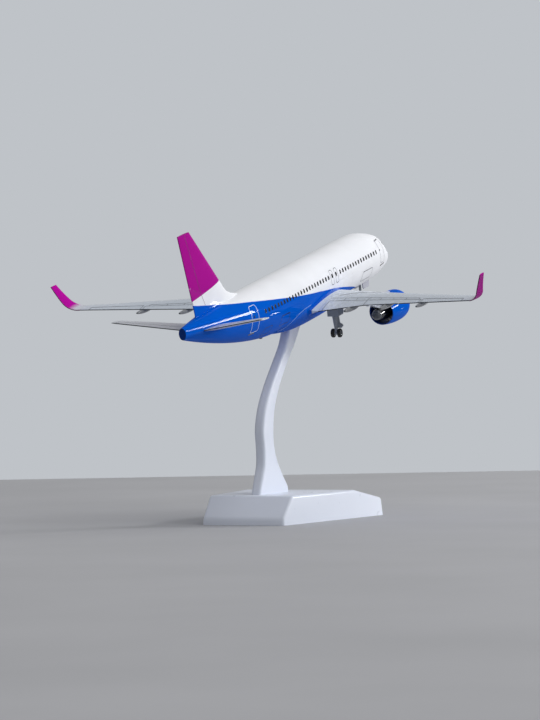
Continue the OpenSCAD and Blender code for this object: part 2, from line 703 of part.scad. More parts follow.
// One blade section: half its chord, its turn, and a slight bow between the edges
function blade_ring(r) = let (
    t = share(r, fan_hub_r, duct_r),
    turn = mix(blade_root_turn, blade_tip_turn, t),
    half = mix(0.62, 0.8, t),
    a = [half * sin(turn), half * cos(turn)],
    n = [cos(turn), -sin(turn)] * blade_t / 2
) [for (p = [-a + n, 1.2 * n, a + n, a - n, -1.6 * n, -a - n]) [p[0], p[1], r]];
module fan_blade() {
    reach = [fan_hub_r - blade_sink, mix(fan_hub_r, duct_r, 0.5), duct_r - blade_tip_gap];
    loft([for (r = reach) blade_ring(r)]);
}
module fan(side) {
    color(gear_grey) fly() on_side(side) on_engine() difference() {
        union() {
            translate([0, 0, fan_depth - fan_hub_t]) cylinder(h = fan_hub_t, r = fan_hub_r, $fn = 36);
            for (i = [0 : fan_blades - 1])
                translate([0, 0, fan_depth - fan_hub_t / 2]) rotate([0, 0, 360 * i / fan_blades])
                    rotate([0, 90, 0]) fan_blade();
        }
        translate([0, 0, fan_depth - fan_hub_t - 1])
            cylinder(h = fan_hub_t + 2, r = fan_pin_r + run_gap, $fn = 32);
    }
}
module fan_left() { fan(1); }
module fan_right() { fan(-1); }

spinner_len = 2.6;
head_room = 0.2;
module spinner(side) {
    rear = fan_depth - fan_hub_t;
    outer = [for (i = [0 : 8]) let (a = 90 * i / 8)
        [fan_hub_r * sin(a), rear - spinner_len * cos(a)]];
    color(dark_metal) fly() on_side(side) on_engine() difference() {
        rotate_extrude($fn = 36) polygon(concat(outer, [[0, rear]]));
        translate([0, 0, pin_front - head_room])
            cylinder(h = rear + 1 - pin_front + head_room, r = pin_head_r + head_room, $fn = 32);
    }
}
module spinner_left() { spinner(1); }
module spinner_right() { spinner(-1); }

// Landing gear
leg_top_z = wing_z(main_y) - 0.6;
block_w = 4.4;
block_l = 4;
block_bottom = -9.5;
strut_top_r = 1.15;
strut_foot_r = 0.5;
boss_r = 0.75;
// Brace and torque link beside the strut
brace_x = 1.2;
brace_y = 0.9;
brace_r = 0.55;
brace_lean = 6;
link_x = 0.6;
link_t = 0.7;
link_z = 1.9 - main_axle_drop;
link_outline = concat(
    [[-0.2, 0.3], [0.2, 0.1], [2.1, 0]],
    [for (i = [0 : 6]) let (a = 15 + 95 * i / 6) [0.5 + 2.4 * cos(a), 0.35 + 1.8 * sin(a)]]
);
function boss_half(gap, tyre) = (gap - tyre) / 2 - 0.08;
module main_leg(side) {
    drop = block_bottom + main_axle_drop;
    color(gear_grey) fly() on_side(side) translate([-main_station, main_y, 0]) difference() {
        union() {
            difference() {
                translate([-block_l / 2, -block_w / 2, block_bottom])
                    cube([block_l, block_w, wing_z(main_y) - block_bottom]);
                translate([main_station, -main_y, 0]) wing_panel(glue_gap);
            }
            translate([0, 0, block_bottom])
                cylinder(h = leg_top_z + gear_pin_h - block_bottom, r = gear_pin_r);
            translate([0, 0, -main_axle_drop])
                cylinder(h = drop + 0.5, r1 = strut_foot_r, r2 = strut_top_r);
            translate([brace_x, brace_y, link_z]) rotate([0, -brace_lean, 0])
                cylinder(h = drop - 1.5, r = brace_r);
            translate([link_x, 0, link_z]) rotate([90, 0, 90])
                linear_extrude(link_t, center = true) polygon(link_outline);
            translate([0, boss_half(main_wheel_gap, main_tyre_w), -main_axle_drop]) rotate([90, 0, 0])
                cylinder(h = 2 * boss_half(main_wheel_gap, main_tyre_w), r = boss_r);
        }
        translate([0, main_wheel_gap, -main_axle_drop]) rotate([90, 0, 0])
            cylinder(h = 2 * main_wheel_gap, r = axle_r + run_gap, $fn = 32);
    }
}
module main_leg_left() { main_leg(1); }
module main_leg_right() { main_leg(-1); }

door_t = 0.5;
door_half = 2.6;
door_cut = 0.6;
module main_door(side) {
    foot = block_bottom + 0.2;
    color(gear_grey) fly() on_side(side) difference() {
        translate([-main_station, main_y + block_w / 2 + door_t, 0]) rotate([90, 0, 0])
            linear_extrude(door_t) polygon([
                [-door_half, foot + door_cut], [door_cut - door_half, foot],
                [door_half - door_cut, foot], [door_half, foot + door_cut],
                [door_half, wing_z(main_y) + 1], [-door_half, wing_z(main_y) + 1]
            ]);
        wing_panel(glue_gap);
        translate([-main_station - 5, main_y, wing_z(main_y)]) cube([10, 6, 4]);
    }
}
module main_door_left() { main_door(1); }
module main_door_right() { main_door(-1); }

nose_axle_drop = main_axle_drop + main_tyre_r - nose_tyre_r;
nose_plug_r = 1.2;
nose_plug_h = 3;
nose_plug_sink = 0.2;
nose_keel = keel(nose_station);
nose_strut_r = 0.5;
nose_boss_r = 0.65;
nose_drag_x = 1.1;
nose_drag_lean = 24;
nose_drag_r = 0.3;
module nose_leg() {
    color(gear_grey) fly() translate([-nose_station, 0, 0]) difference() {
        union() {
            translate([0, 0, nose_keel + nose_plug_sink])
                cylinder(h = nose_plug_h - fus_h / 2 - nose_keel - nose_plug_sink, r = nose_plug_r);
            translate([0, 0, -nose_axle_drop])
                cylinder(h = nose_axle_drop + nose_keel + 0.6, r = nose_strut_r);
            translate([nose_drag_x, 0, -nose_axle_drop + 1.6]) rotate([0, -nose_drag_lean, 0])
                cylinder(h = 2.6, r = nose_drag_r, $fn = 24);
            translate([0, boss_half(nose_wheel_gap, nose_tyre_w), -nose_axle_drop]) rotate([90, 0, 0])
                cylinder(h = 2 * boss_half(nose_wheel_gap, nose_tyre_w), r = nose_boss_r);
        }
        translate([0, nose_wheel_gap, -nose_axle_drop]) rotate([90, 0, 0])
            cylinder(h = 2 * nose_wheel_gap, r = axle_r + run_gap, $fn = 32);
    }
}

nose_door_y = 1.75;
nose_door_ahead = 1.5;
nose_door_half = 3.2;
nose_door_drop = 2.5;
nose_door_in = 1;
nose_door_cut = 0.6;
module nose_door_blank(gap) {
    half = nose_door_half + gap;
    foot = nose_keel - nose_door_drop;
    translate([nose_door_ahead - nose_station, nose_door_y + door_t + gap, 0]) rotate([90, 0, 0])
        linear_extrude(door_t + 2 * gap) polygon([
            [-half, foot + nose_door_cut], [-half + nose_door_cut, foot], [half - nose_door_cut, foot],
            [half, foot + nose_door_cut], [half, nose_keel + nose_door_in + gap],
            [-half, nose_keel + nose_door_in + gap]
        ]);
}
module nose_door(side) {
    color(white) fly() on_side(side) nose_door_blank(0);
}
module nose_door_left() { nose_door(1); }
module nose_door_right() { nose_door(-1); }

// Wheels, each pair pressed on one axle
module axle(station, y, drop, gap, tyre_w) {
    half = gap / 2 + 0.36 * tyre_w;
    color("silver") fly() translate([-station, y + half, -drop]) rotate([90, 0, 0])
        cylinder(h = 2 * half, r = axle_r, $fn = 32);
}
module main_axle_left() { axle(main_station, main_y, main_axle_drop, main_wheel_gap, main_tyre_w); }
module main_axle_right() { axle(main_station, -main_y, main_axle_drop, main_wheel_gap, main_tyre_w); }
module nose_axle() { axle(nose_station, 0, nose_axle_drop, nose_wheel_gap, nose_tyre_w); }

rim_share = 0.58;
module tyre(station, y, drop, r, w) {
    rim = r * rim_share;
    edge = w * 0.3;
    shoulder = [for (i = [0 : 4]) let (a = 90 * i / 4)
        [r - edge + edge * sin(a), -w / 2 + edge * (1 - cos(a))]];
    shoulder_back = [for (i = [4 : -1 : 0]) [shoulder[i][0], -shoulder[i][1]]];
    color(tyre_black) fly() translate([-station, y, -drop]) rotate([90, 0, 0])
        rotate_extrude($fn = 40) polygon(concat([[rim, -w / 2 + 0.1], [rim + 0.1, -w / 2]], shoulder,
            shoulder_back, [[rim + 0.1, w / 2], [rim, w / 2 - 0.1]]));
}
module hub(station, y, drop, r, w) {
    rim = r * rim_share;
    dish = w * 0.16;
    half = w * 0.4;
    cap = mix(axle_r, rim, 0.25);
    well = mix(axle_r, rim, 0.4);
    bead = mix(axle_r, rim, 0.88);
    floor_r = mix(axle_r, rim, 0.76);
    face = [[axle_r, -half], [cap, -half], [well, dish - half],
        [floor_r, dish - half], [bead, -half], [rim, -half]];
    back = [for (i = [len(face) - 1 : -1 : 0]) [face[i][0], -face[i][1]]];
    color(gear_grey) fly() translate([-station, y, -drop]) rotate([90, 0, 0])
        rotate_extrude($fn = 40) polygon(concat(face, back));
}
module main_tyre(y) { tyre(main_station, y, main_axle_drop, main_tyre_r, main_tyre_w); }
module main_hub(y) { hub(main_station, y, main_axle_drop, main_tyre_r, main_tyre_w); }
module nose_tyre(y) { tyre(nose_station, y, nose_axle_drop, nose_tyre_r, nose_tyre_w); }
module nose_hub(y) { hub(nose_station, y, nose_axle_drop, nose_tyre_r, nose_tyre_w); }
module main_tyre_left_outer() { main_tyre(main_y + main_wheel_gap / 2); }
module main_tyre_left_inner() { main_tyre(main_y - main_wheel_gap / 2); }
module main_tyre_right_outer() { main_tyre(-main_y - main_wheel_gap / 2); }
module main_tyre_right_inner() { main_tyre(-main_y + main_wheel_gap / 2); }
module main_hub_left_outer() { main_hub(main_y + main_wheel_gap / 2); }
module main_hub_left_inner() { main_hub(main_y - main_wheel_gap / 2); }
module main_hub_right_outer() { main_hub(-main_y - main_wheel_gap / 2); }
module main_hub_right_inner() { main_hub(-main_y + main_wheel_gap / 2); }
module nose_tyre_left() { nose_tyre(nose_wheel_gap / 2); }
module nose_tyre_right() { nose_tyre(-nose_wheel_gap / 2); }
module nose_hub_left() { nose_hub(nose_wheel_gap / 2); }
module nose_hub_right() { nose_hub(-nose_wheel_gap / 2); }

// Stem: rounded sections from the flared foot up to the belly
foot_x = -stem_foot_x;
seat = fly_point(seat_station, seat_z);
stem_rise = seat[1] - base_h;
// Height as a share of the rise, place of the middle, length of the section
stem_rows = [
    [0, foot_x, stem_foot_len],
    [0.036, foot_x + 0.2, stem_foot_len * 0.95],
    [0.106, foot_x - 1, stem_foot_len * 0.71],
    [0.178, foot_x - 2.2, stem_waist_len + 5.3],
    [0.273, foot_x - 3.7, stem_waist_len + 2.3],
    [0.384, foot_x - 4.3, stem_waist_len + 2.3],
    [0.51, foot_x - 2.1, stem_waist_len + 1.3],
    [0.636, foot_x + 3.1, stem_waist_len + 0.1],
    [0.77, foot_x + 10.7, stem_waist_len],
    [0.889, foot_x + 18, mix(stem_waist_len, stem_top_len, 0.35)],
    [1, seat[0], stem_top_len]
];
stem_rings = 30;
corner_steps = 3;
function outline(length, thick, r) = [for (q = [0 : 3]) for (i = [0 : corner_steps]) let (
    a = 90 * (q + i / corner_steps),
    sx = q == 0 || q == 3 ? 1 : -1,
    sy = q < 2 ? 1 : -1
) [sx * (length / 2 - r) + r * cos(a), sy * (thick / 2 - r) + r * sin(a)]];
module stem_outline(length, thick, r) {
    polygon(outline(length, thick, r));
}
module stem() {
    last = len(stem_rows) - 1;
    rings = [for (i = [0 : stem_rings]) let (
        k = last * i / stem_rings,
        up = row_curve(stem_rows, k, 0),
        x = row_curve(stem_rows, k, 1),
        length = row_curve(stem_rows, k, 2),
        tilt = pitch * ease(share(up, 0.6, 1)),
        z = base_h + stem_rise * up
    ) [for (p = outline(length, stem_t, stem_edge_r))
        [x + p[0] * cos(tilt), p[1], z + p[0] * sin(tilt)]]];
    color(white) difference() {
        union() {
            loft(rings);
            fly() translate([-seat_station - tongue_len / 2, -tongue_t / 2, seat_z - 1])
                cube([tongue_len, tongue_t, 1 + top_tongue_h]);
            translate([foot_x - tongue_len / 2, -tongue_t / 2, base_h - foot_tongue_h])
                cube([tongue_len, tongue_t, foot_tongue_h + 1]);
        }
        translate([foot_x, 0, base_h - foot_tongue_h - 1])
            cylinder(h = screw_bite + 1, r = screw_r, $fn = 32);
    }
}
screw_bite = 4;
boss_wall = 1.6;
boss_floor_t = 1.6;
boss_floor_z = base_h - foot_tongue_h - boss_floor_t;
screw_head_h = 1;
module stem_screw() {
    top = base_h - foot_tongue_h + screw_bite;
    color("silver") translate([foot_x, 0, 0]) difference() {
        union() {
            translate([0, 0, boss_floor_z - 0.01])
                cylinder(h = top - boss_floor_z - 0.2, r = screw_r, $fn = 32);
            translate([0, 0, boss_floor_z - screw_head_h])
                cylinder(h = screw_head_h, r = screw_head_r, $fn = 36);
        }
        for (a = [0, 90]) rotate([0, 0, a])
            translate([-screw_head_r * 0.65, -0.2, boss_floor_z - screw_head_h - 1])
                cube([screw_head_r * 1.3, 0.4, 1.5]);
    }
}

// Base: a hollow wedge of trapezoid plan, with the stem's socket and ribs underneath
base_rear = -base_len / 2;
function base_half(u, z) = mix(base_rear_w, base_front_w, u / base_len) / 2 - base_lean * z / base_h;
base_corners = [
    [base_rear_run, base_h], [base_len - base_front_run, base_h],
    [0.3, base_rear_band], [base_len - 0.8, base_front_h]
];
module base_body() {
    r = base_edge_r;
    color(white) hull() {
        for (c = base_corners) for (side = [1, -1]) {
            u = min(max(c[0], r), base_len - r);
            drop = c[1] > base_h - 0.01 ? r : r * 1.1;
            translate([base_rear + u, side * (base_half(u, c[1]) - r), c[1] - drop]) sphere(r, $fn = 20);
        }
        linear_extrude(0.4) polygon([
            [base_rear + r * 0.5, -base_half(0, 0)], [base_rear, -base_half(0, 0) + r * 0.5],
            [base_rear, base_half(0, 0) - r * 0.5], [base_rear + r * 0.5, base_half(0, 0)],
            [-base_rear - r * 0.5, base_half(base_len, 0)], [-base_rear, base_half(base_len, 0) - r * 0.5],
            [-base_rear, -base_half(base_len, 0) + r * 0.5], [-base_rear - r * 0.5, -base_half(base_len, 0)]
        ]);
    }
}
module base_hollow() {
    w = base_wall;
    side_at = function (u, z) base_half(u, z) - w;
    front = base_len - 0.8 - w;
    rows = [[w + 0.3, -1], [w + 0.3, base_rear_band - w * 0.6], [base_rear_run + w * 0.3, base_h - w],
        [base_len - base_front_run, base_h - w], [front, base_front_h - w], [front, -1]];
    ring = function (side) [for (p = rows) [base_rear + p[0], side * side_at(p[0], p[1]), p[1]]];
    m = len(rows);
    polyhedron(
        points = concat(ring(-1), ring(1)),
        faces = concat(
            [[for (i = [0 : m - 1]) i]],
            [[for (i = [m - 1 : -1 : 0]) m + i]],
            [for (i = [0 : m - 1]) let (j = (i + 1) % m) each [[j, i, m + i], [j, m + i, m + j]]]
        )
    );
}
module base() {
    boss_l = tongue_len + 2 * (boss_wall + slot_gap);
    boss_w = tongue_t + 2 * (boss_wall + slot_gap);
    color(white) difference() {
        base_body();
        difference() {
            base_hollow();
            translate([foot_x - boss_l / 2, -boss_w / 2, -2]) cube([boss_l, boss_w, base_h + 2]);
            translate([base_rear, -base_rib / 2, -2]) cube([base_len, base_rib, base_h + 2]);
            for (x = [foot_x, base_len / 2 - base_front_run])
                translate([x - base_rib / 2, -base_front_w / 2, -2])
                    cube([base_rib, base_front_w, base_h + 2]);
        }
        translate([foot_x - tongue_len / 2 - slot_gap, -tongue_t / 2 - slot_gap, base_h - foot_tongue_h])
            cube([tongue_len + 2 * slot_gap, tongue_t + 2 * slot_gap, foot_tongue_h + 1]);
        translate([foot_x, 0, -1]) cylinder(h = base_h, r = screw_r + 0.1, $fn = 32);
        translate([foot_x, 0, -1]) cylinder(h = 1 + boss_floor_z, r = screw_head_r + 0.2, $fn = 36);
    }
}

base();
stem();
stem_screw();
fuselage_left();
fuselage_right();
centre_section();
fin();
tailplane_left();
tailplane_right();
wing_left();
wing_right();
winglet_left();
winglet_right();
cowl_left();
cowl_right();
engine_core_left();
engine_core_right();
exhaust_plug_left();
exhaust_plug_right();
fan_left();
fan_right();
spinner_left();
spinner_right();
main_leg_left();
main_leg_right();
main_door_left();
main_door_right();
nose_leg();
nose_door_left();
nose_door_right();
main_axle_left();
main_axle_right();
nose_axle();
main_tyre_left_outer();
main_tyre_left_inner();
main_tyre_right_outer();
main_tyre_right_inner();
main_hub_left_outer();
main_hub_left_inner();
main_hub_right_outer();
main_hub_right_inner();
nose_tyre_left();
nose_tyre_right();
nose_hub_left();
nose_hub_right();
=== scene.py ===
from math import acos, cos, hypot, pi, radians, sin, sqrt, tan

import bpy
import bmesh
from mathutils import Matrix, Vector


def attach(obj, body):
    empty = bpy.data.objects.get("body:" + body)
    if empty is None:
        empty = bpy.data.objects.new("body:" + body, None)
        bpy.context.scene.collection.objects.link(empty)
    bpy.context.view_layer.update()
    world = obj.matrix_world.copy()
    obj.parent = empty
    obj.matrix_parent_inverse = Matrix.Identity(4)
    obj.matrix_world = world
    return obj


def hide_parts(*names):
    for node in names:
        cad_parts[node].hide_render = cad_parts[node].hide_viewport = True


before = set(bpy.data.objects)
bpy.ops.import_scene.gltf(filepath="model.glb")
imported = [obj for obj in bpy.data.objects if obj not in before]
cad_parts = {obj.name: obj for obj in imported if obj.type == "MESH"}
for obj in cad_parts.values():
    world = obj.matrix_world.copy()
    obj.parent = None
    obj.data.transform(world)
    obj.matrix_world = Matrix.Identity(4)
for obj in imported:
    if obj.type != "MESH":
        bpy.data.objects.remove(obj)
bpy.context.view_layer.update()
print("frame loaded")
sides = ((1, "left"), (-1, "right"))

# Camera, where the photograph was taken from
view = {"place": (-1041.04, -467.33, 63.84), "turn": (89.863, 0.994, -65.629), "lens": 149.37}
cameraData = bpy.data.cameras.new("camera")
cameraData.lens = view["lens"]
cameraData.clip_start = 0.01
camera = bpy.data.objects.new("camera", cameraData)
camera.location = [v / 1000 for v in view["place"]]
camera.rotation_euler = [radians(a) for a in view["turn"]]
bpy.context.scene.collection.objects.link(camera)
bpy.context.scene.camera = camera
bpy.context.scene.view_settings.view_transform = "Standard"

# The aircraft is drawn in its own frame, in millimetres: x = -station, counted from the nose tip,
# and z = 0 on the centreline of the barrel. The flight matrix sets it on the stand, in metres.
hold = {"pitch": 12.8, "x": 6.8, "z": 85.8, "station": 97.5}
bench = Matrix.Scale(0.001, 4)
flight = (
    bench
    @ Matrix.Translation((hold["x"], 0, hold["z"]))
    @ Matrix.Rotation(radians(-hold["pitch"]), 4, "Y")
    @ Matrix.Translation((hold["station"], 0, 0))
)


# A value between two others, and how far a value lies between two others
def mix(a, b, t):
    return a + (b - a) * t


def share(v, start, end):
    return max(0.0, min(1.0, (v - start) / (end - start)))


# A share that starts and ends slowly
def ease(t):
    c = max(0.0, min(1.0, t))
    return c * c * (3 - 2 * c)


# Values in even steps, with both ends
def steps(count, start=0.0, end=1.0):
    return [mix(start, end, i / count) for i in range(count + 1)]


# An sRGB hex code as a linear colour
def paintOf(code):
    parts = [int(code[i : i + 2], 16) / 255 for i in (1, 3, 5)]
    return tuple(c / 12.92 if c <= 0.04045 else ((c + 0.055) / 1.055) ** 2.4 for c in parts) + (1.0,)


# Adds one shader node, sets or links its inputs, and returns the output that is asked for
def put(tree, kind, inputs=(), out=0, **settings):
    node = tree.nodes.new("ShaderNode" + kind)
    for key, value in settings.items():
        setattr(node, key, value)
    pairs = inputs.items() if isinstance(inputs, dict) else enumerate(inputs)
    for key, value in pairs:
        if isinstance(value, bpy.types.NodeSocket):
            tree.links.new(value, node.inputs[key])
        elif value is not None:
            node.inputs[key].default_value = value
    return node.outputs[out] if node.outputs else node


# Millimetre coordinates, on the aircraft turned into its own frame
def coordsOf(tree, flying):
    place = put(tree, "TexCoord", out=3)
    back = flight.inverted() if flying else Matrix.Scale(1000, 4)
    turn = (back.to_3x3() * 0.001).to_euler("XYZ")
    return put(tree, "Mapping", {0: place, "Location": back.translation, "Rotation": turn,
                                 "Scale": (1000, 1000, 1000)}, vector_type="POINT")


# One finish: base colour with a faint mottle, gloss that varies, the fine wave of a moulded or
# painted skin, and where asked a grit. Sizes and heights are in millimetres.
plain = {"rough": 0.2, "metal": 0.0, "coat": 0.0, "coatRough": 0.05, "ior": 1.5, "gleam": 0.5,
         "mottle": 0.03, "mottleSize": 14, "wave": 0.0008, "waveSize": 5, "grit": 0.0, "gritSize": 0.25,
         "roughLow": 0.85, "roughHigh": 1.2}
noiseSpan = (0.3, 0.7)  # nearly all of a noise lies between these two values


def makeFinish(name, colour, flying=True, paint=None, **changes):
    look = {**plain, **changes}
    finish = bpy.data.materials.new(name)
    finish.use_nodes = True
    finish.diffuse_color = paintOf(colour)
    tree = finish.node_tree
    tree.nodes.clear()
    coords = coordsOf(tree, flying)
    base = paint(tree, coords) if paint else paintOf(colour)[:3]
    cloud = put(tree, "TexNoise", {"Vector": coords, "Scale": 1 / look["mottleSize"], "Detail": 3.0})
    shade = put(tree, "MapRange", [cloud, *noiseSpan, 1 - look["mottle"], 1 + look["mottle"]])
    tinted = put(tree, "VectorMath", {0: base, "Scale": shade}, operation="SCALE")
    fine = put(tree, "TexNoise", {"Vector": coords, "Scale": 1 / look["waveSize"], "Detail": 2.0})
    gloss = put(tree, "MapRange", [fine, *noiseSpan, look["rough"] * look["roughLow"],
                                   look["rough"] * look["roughHigh"]])
    normal = put(tree, "Bump", {"Distance": look["wave"] / 1000, "Height": fine})
    if look["grit"]:
        sand = put(tree, "TexNoise", {"Vector": coords, "Scale": 1 / look["gritSize"], "Detail": 2.0})
        normal = put(tree, "Bump", {"Distance": look["grit"] / 1000, "Height": sand, "Normal": normal})
    shader = put(tree, "BsdfPrincipled", {
        "Base Color": tinted, "Roughness": gloss, "Metallic": look["metal"], "IOR": look["ior"],
        "Specular IOR Level": look["gleam"], "Coat Weight": look["coat"],
        "Coat Roughness": look["coatRough"], "Normal": normal})
    put(tree, "OutputMaterial", [shader])
    return finish


# Paint scheme of the shell: blue below a line that climbs towards the tail, white above it. The line
# is given as station and height, its soft edge in millimetres.
scheme = {
    "white": "#f0f2f7", "blue": "#005acb", "magenta": "#ab1791", "wing": "#d3dce8", "edge": 0.06,
    "line": [(0, -12), (34, -12), (39, -9.6), (45, -8), (58, -5.25), (70, -3.1), (87, -0.95),
             (106, 1.45), (127, 4.7), (144, 7.45), (158, 9.65), (175, 12.9), (190, 15.6)],
    "finFoot": (179.4, 15.3), "finSlope": 0.135,
}
lineSpan = {"length": 200, "low": -12, "high": 18}  # what the curve node's 0 to 1 stands for


# Two paints that meet where a distance is 0, over a soft edge
def blend(tree, distance, soft, below, above):
    mask = put(tree, "MapRange", [distance, -soft, soft, 0.0, 1.0])
    return put(tree, "Mix", {0: mask, 6: below, 7: above}, out=2, data_type="RGBA")


def shellPaint(tree, coords):
    x = put(tree, "SeparateXYZ", [coords])
    along = put(tree, "MapRange", [x, 0.0, -lineSpan["length"], 0.0, 1.0])
    bend = put(tree, "FloatCurve", {1: along})
    mapping = bend.node.mapping
    tall = lineSpan["high"] - lineSpan["low"]
    spots = [(s / lineSpan["length"], (h - lineSpan["low"]) / tall) for s, h in scheme["line"]]
    curve = mapping.curves[0]
    curve.points[0].location = spots[0]
    curve.points[1].location = (1, spots[-1][1])
    for spot in spots[1:]:
        curve.points.new(*spot)
    mapping.update()
    level = put(tree, "MapRange", [bend, 0.0, 1.0, lineSpan["low"], lineSpan["high"]])
    above = put(tree, "Math", [x.node.outputs[2], level], operation="SUBTRACT")
    return blend(tree, above, scheme["edge"], paintOf(scheme["blue"]), paintOf(scheme["white"]))


# The fin carries the shell's paint at its foot and magenta above a slanted edge
def finPaint(tree, coords):
    below = shellPaint(tree, coords)
    x = put(tree, "SeparateXYZ", [coords])
    station, foot = scheme["finFoot"]
    back = put(tree, "Math", [x, station], operation="ADD")
    level = put(tree, "Math", [back, scheme["finSlope"], foot], operation="MULTIPLY_ADD")
    above = put(tree, "Math", [x.node.outputs[2], level], operation="SUBTRACT")
    return blend(tree, above, scheme["edge"], below, paintOf(scheme["magenta"]))


# Geometry in millimetres. Bridges closed sections into a skin, caps its ends and returns the caps;
# kind gives a face's finish from the number of its section and of its side.
def loft(bm, rings, kind=None):
    loops = []
    for ring in rings:
        verts = [bm.verts.new(p) for p in ring]
        loops.append([bm.edges.new(pair) for pair in zip(verts, verts[1:] + verts[:1])])
    for i, (first, second) in enumerate(zip(loops, loops[1:])):
        sides = {edge: j for j, edge in enumerate(first)}
        for face in bmesh.ops.bridge_loops(bm, edges=first + second)["faces"]:
            if kind:
                face.material_index = kind(i, next(sides[e] for e in face.edges if e in sides))
    return [bmesh.ops.contextual_create(bm, geom=loop)["faces"][0] for loop in (loops[0], loops[-1])]


# A thin printed or engraved mark on a surface: a grid laid on rows of places, facing outward
def addPatch(bm, place, rows, outward, material):
    across, along = len(rows[0]) - 1, len(rows) - 1
    sheet = bmesh.ops.create_grid(bm, x_segments=across, y_segments=along, size=1)["verts"]
    for vert, spot in zip(sheet, [spot for row in rows for spot in row]):
        vert.co = place(*spot)
    for face in {face for vert in sheet for face in vert.link_faces}:
        face.material_index = material
        face.normal_update()
        if face.normal.dot(outward(face.calc_center_median())) < 0:
            face.normal_flip()


# A filled rectangle with rounded corners, as rows of two places
def roundedRows(u, v, halfU, halfV, r, count=6):
    rows = []
    for t in steps(count, -1, 1):
        over = max(0.0, abs(halfV * t) - (halfV - r))
        half = halfU - r + sqrt(max(0.0, r * r - over * over))
        rows.append([(u - half, v + halfV * t), (u + half, v + halfV * t)])
    return rows


# The outline of such a rectangle
def roundedPath(u, v, halfU, halfV, r, count=4):
    path = []
    for q, (su, sv) in enumerate(((1, 1), (-1, 1), (-1, -1), (1, -1))):
        for a in steps(count, 90 * q, 90 * (q + 1)):
            path.append((u + su * (halfU - r) + r * cos(radians(a)),
                         v + sv * (halfV - r) + r * sin(radians(a))))
    return path + path[:1]


# Cuts a path into short steps, so that a mark follows the surface
def finer(path, step):
    points = [path[0]]
    for a, b in zip(path, path[1:]):
        count = max(1, int(hypot(b[0] - a[0], b[1] - a[1]) / step))
        points += [(mix(a[0], b[0], i / count), mix(a[1], b[1], i / count)) for i in range(1, count + 1)]
    return points


# A line of even width along a path, open or closed
def ribbonRows(path, width):
    closed = hypot(path[0][0] - path[-1][0], path[0][1] - path[-1][1]) < 1e-6
    rows = []
    last = len(path) - 1
    for i, (u, v) in enumerate(path):
        before = path[i - 1] if i else (path[last - 1] if closed else path[0])
        after = path[i + 1] if i < last else (path[1] if closed else path[last])
        du, dv = after[0] - before[0], after[1] - before[1]
        size = hypot(du, dv) or 1
        nu, nv = -dv / size * width / 2, du / size * width / 2
        rows.append([(u - nu, v - nv), (u + nu, v + nv)])
    return rows


def addLine(bm, place, path, width, outward, material, step=0.8):
    addPatch(bm, place, ribbonRows(finer(path, step), width), outward, material)


# Turns a bmesh into an object of the scene
def objectOf(name, bm):
    mesh = bpy.data.meshes.new(name)
    bm.to_mesh(mesh)
    bm.free()
    shape = bpy.data.objects.new(name, mesh)
    bpy.context.scene.collection.objects.link(shape)
    return shape


# Turns a bmesh into a piece: solid faces made to point outward before the marks are added
def makePiece(name, bm, finishes, body, nodes, place=flight, sharp=32, marks=None):
    bmesh.ops.remove_doubles(bm, verts=bm.verts, dist=0.0004)
    bmesh.ops.recalc_face_normals(bm, faces=bm.faces)
    if marks:
        marks(bm)
    bm.transform(place)
    bm.normal_update()
    for face in bm.faces:
        face.smooth = True
    for edge in bm.edges:
        edge.smooth = len(edge.link_faces) < 2 or edge.calc_face_angle(0) < radians(sharp)
    piece = objectOf(name, bm)
    for finish in finishes:
        piece.data.materials.append(finish)
    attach(piece, body)
    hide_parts(*nodes)


# Cuts solids out of a shape and takes the helpers away again
def carve(bm, cutters):
    for shape in (bm, *cutters):
        bmesh.ops.recalc_face_normals(shape, faces=shape.faces)
    blank = objectOf("blank", bm)
    tools = [objectOf("cutter", cutter) for cutter in cutters]
    for tool in tools:
        cut = blank.modifiers.new("cut", "BOOLEAN")
        cut.operation = "DIFFERENCE"
        cut.solver = "EXACT"
        cut.object = tool
    bpy.context.view_layer.update()
    result = bmesh.new()
    done = blank.evaluated_get(bpy.context.evaluated_depsgraph_get())
    result.from_mesh(done.to_mesh())
    done.to_mesh_clear()
    for shape in [blank] + tools:
        mesh = shape.data
        bpy.data.objects.remove(shape)
        bpy.data.meshes.remove(mesh)
    return result


# A box between two corners
def boxAt(low, high):
    bm = bmesh.new()
    middle = [(a + b) / 2 for a, b in zip(low, high)]
    size = [b - a for a, b in zip(low, high)]
    bmesh.ops.create_cube(bm, size=1, matrix=Matrix.LocRotScale(Vector(middle), None, Vector(size)))
    return bm


# Fuselage. The tail's taper starts at a station of its own for the sides, keel and crown; the screen's
# foot and head are shares of the nose's length and of its rise.
fuselage = {
    "length": 190.1, "width": 19.75, "height": 20.7, "noseLen": 31, "noseDrop": 3.6, "noseTip": 0.03,
    "sideStart": 121, "keelStart": 121, "crownStart": 137, "coneWidth": 2.8, "coneTop": 8,
    "coneBottom": 3.6, "sideCurve": 1.75, "keelCurve": 1.5, "crownCurve": 2.2,
    "screenFoot": (0.25, 0.45), "screenHead": (0.43, 0.79), "around": 96, "noseRings": 44, "noseSpread": 1.7,
    "frontRings": (3, 38), "tailRings": 64,
}
centre = {"front": 54, "rear": 120, "split": -1, "drop": 2.1, "out": 1.5, "fullCurve": 3.2, "square": 0.3,
          "leanCurve": 1.1, "rings": 56, "around": 64, "cutRings": (8, 62, 112), "cutStep": 0.01}


# Rise of the crown over the nose's length: round tip, flat screen, then a curve up to the barrel
def crownRise(t):
    footAt, footRise = fuselage["screenFoot"]
    headAt, headRise = fuselage["screenHead"]
    if t < footAt:
        return footRise * sqrt(t / footAt)
    if t < headAt:
        return mix(footRise, headRise, (t - footAt) / (headAt - footAt))
    return mix(headRise, 1, sin(pi / 2 * (t - headAt) / (1 - headAt)))


# Quarter ellipse by which the nose widens
def noseSwell(s):
    t = min(1.0, s / fuselage["noseLen"])
    return sqrt(1 - (1 - t) ** 2)


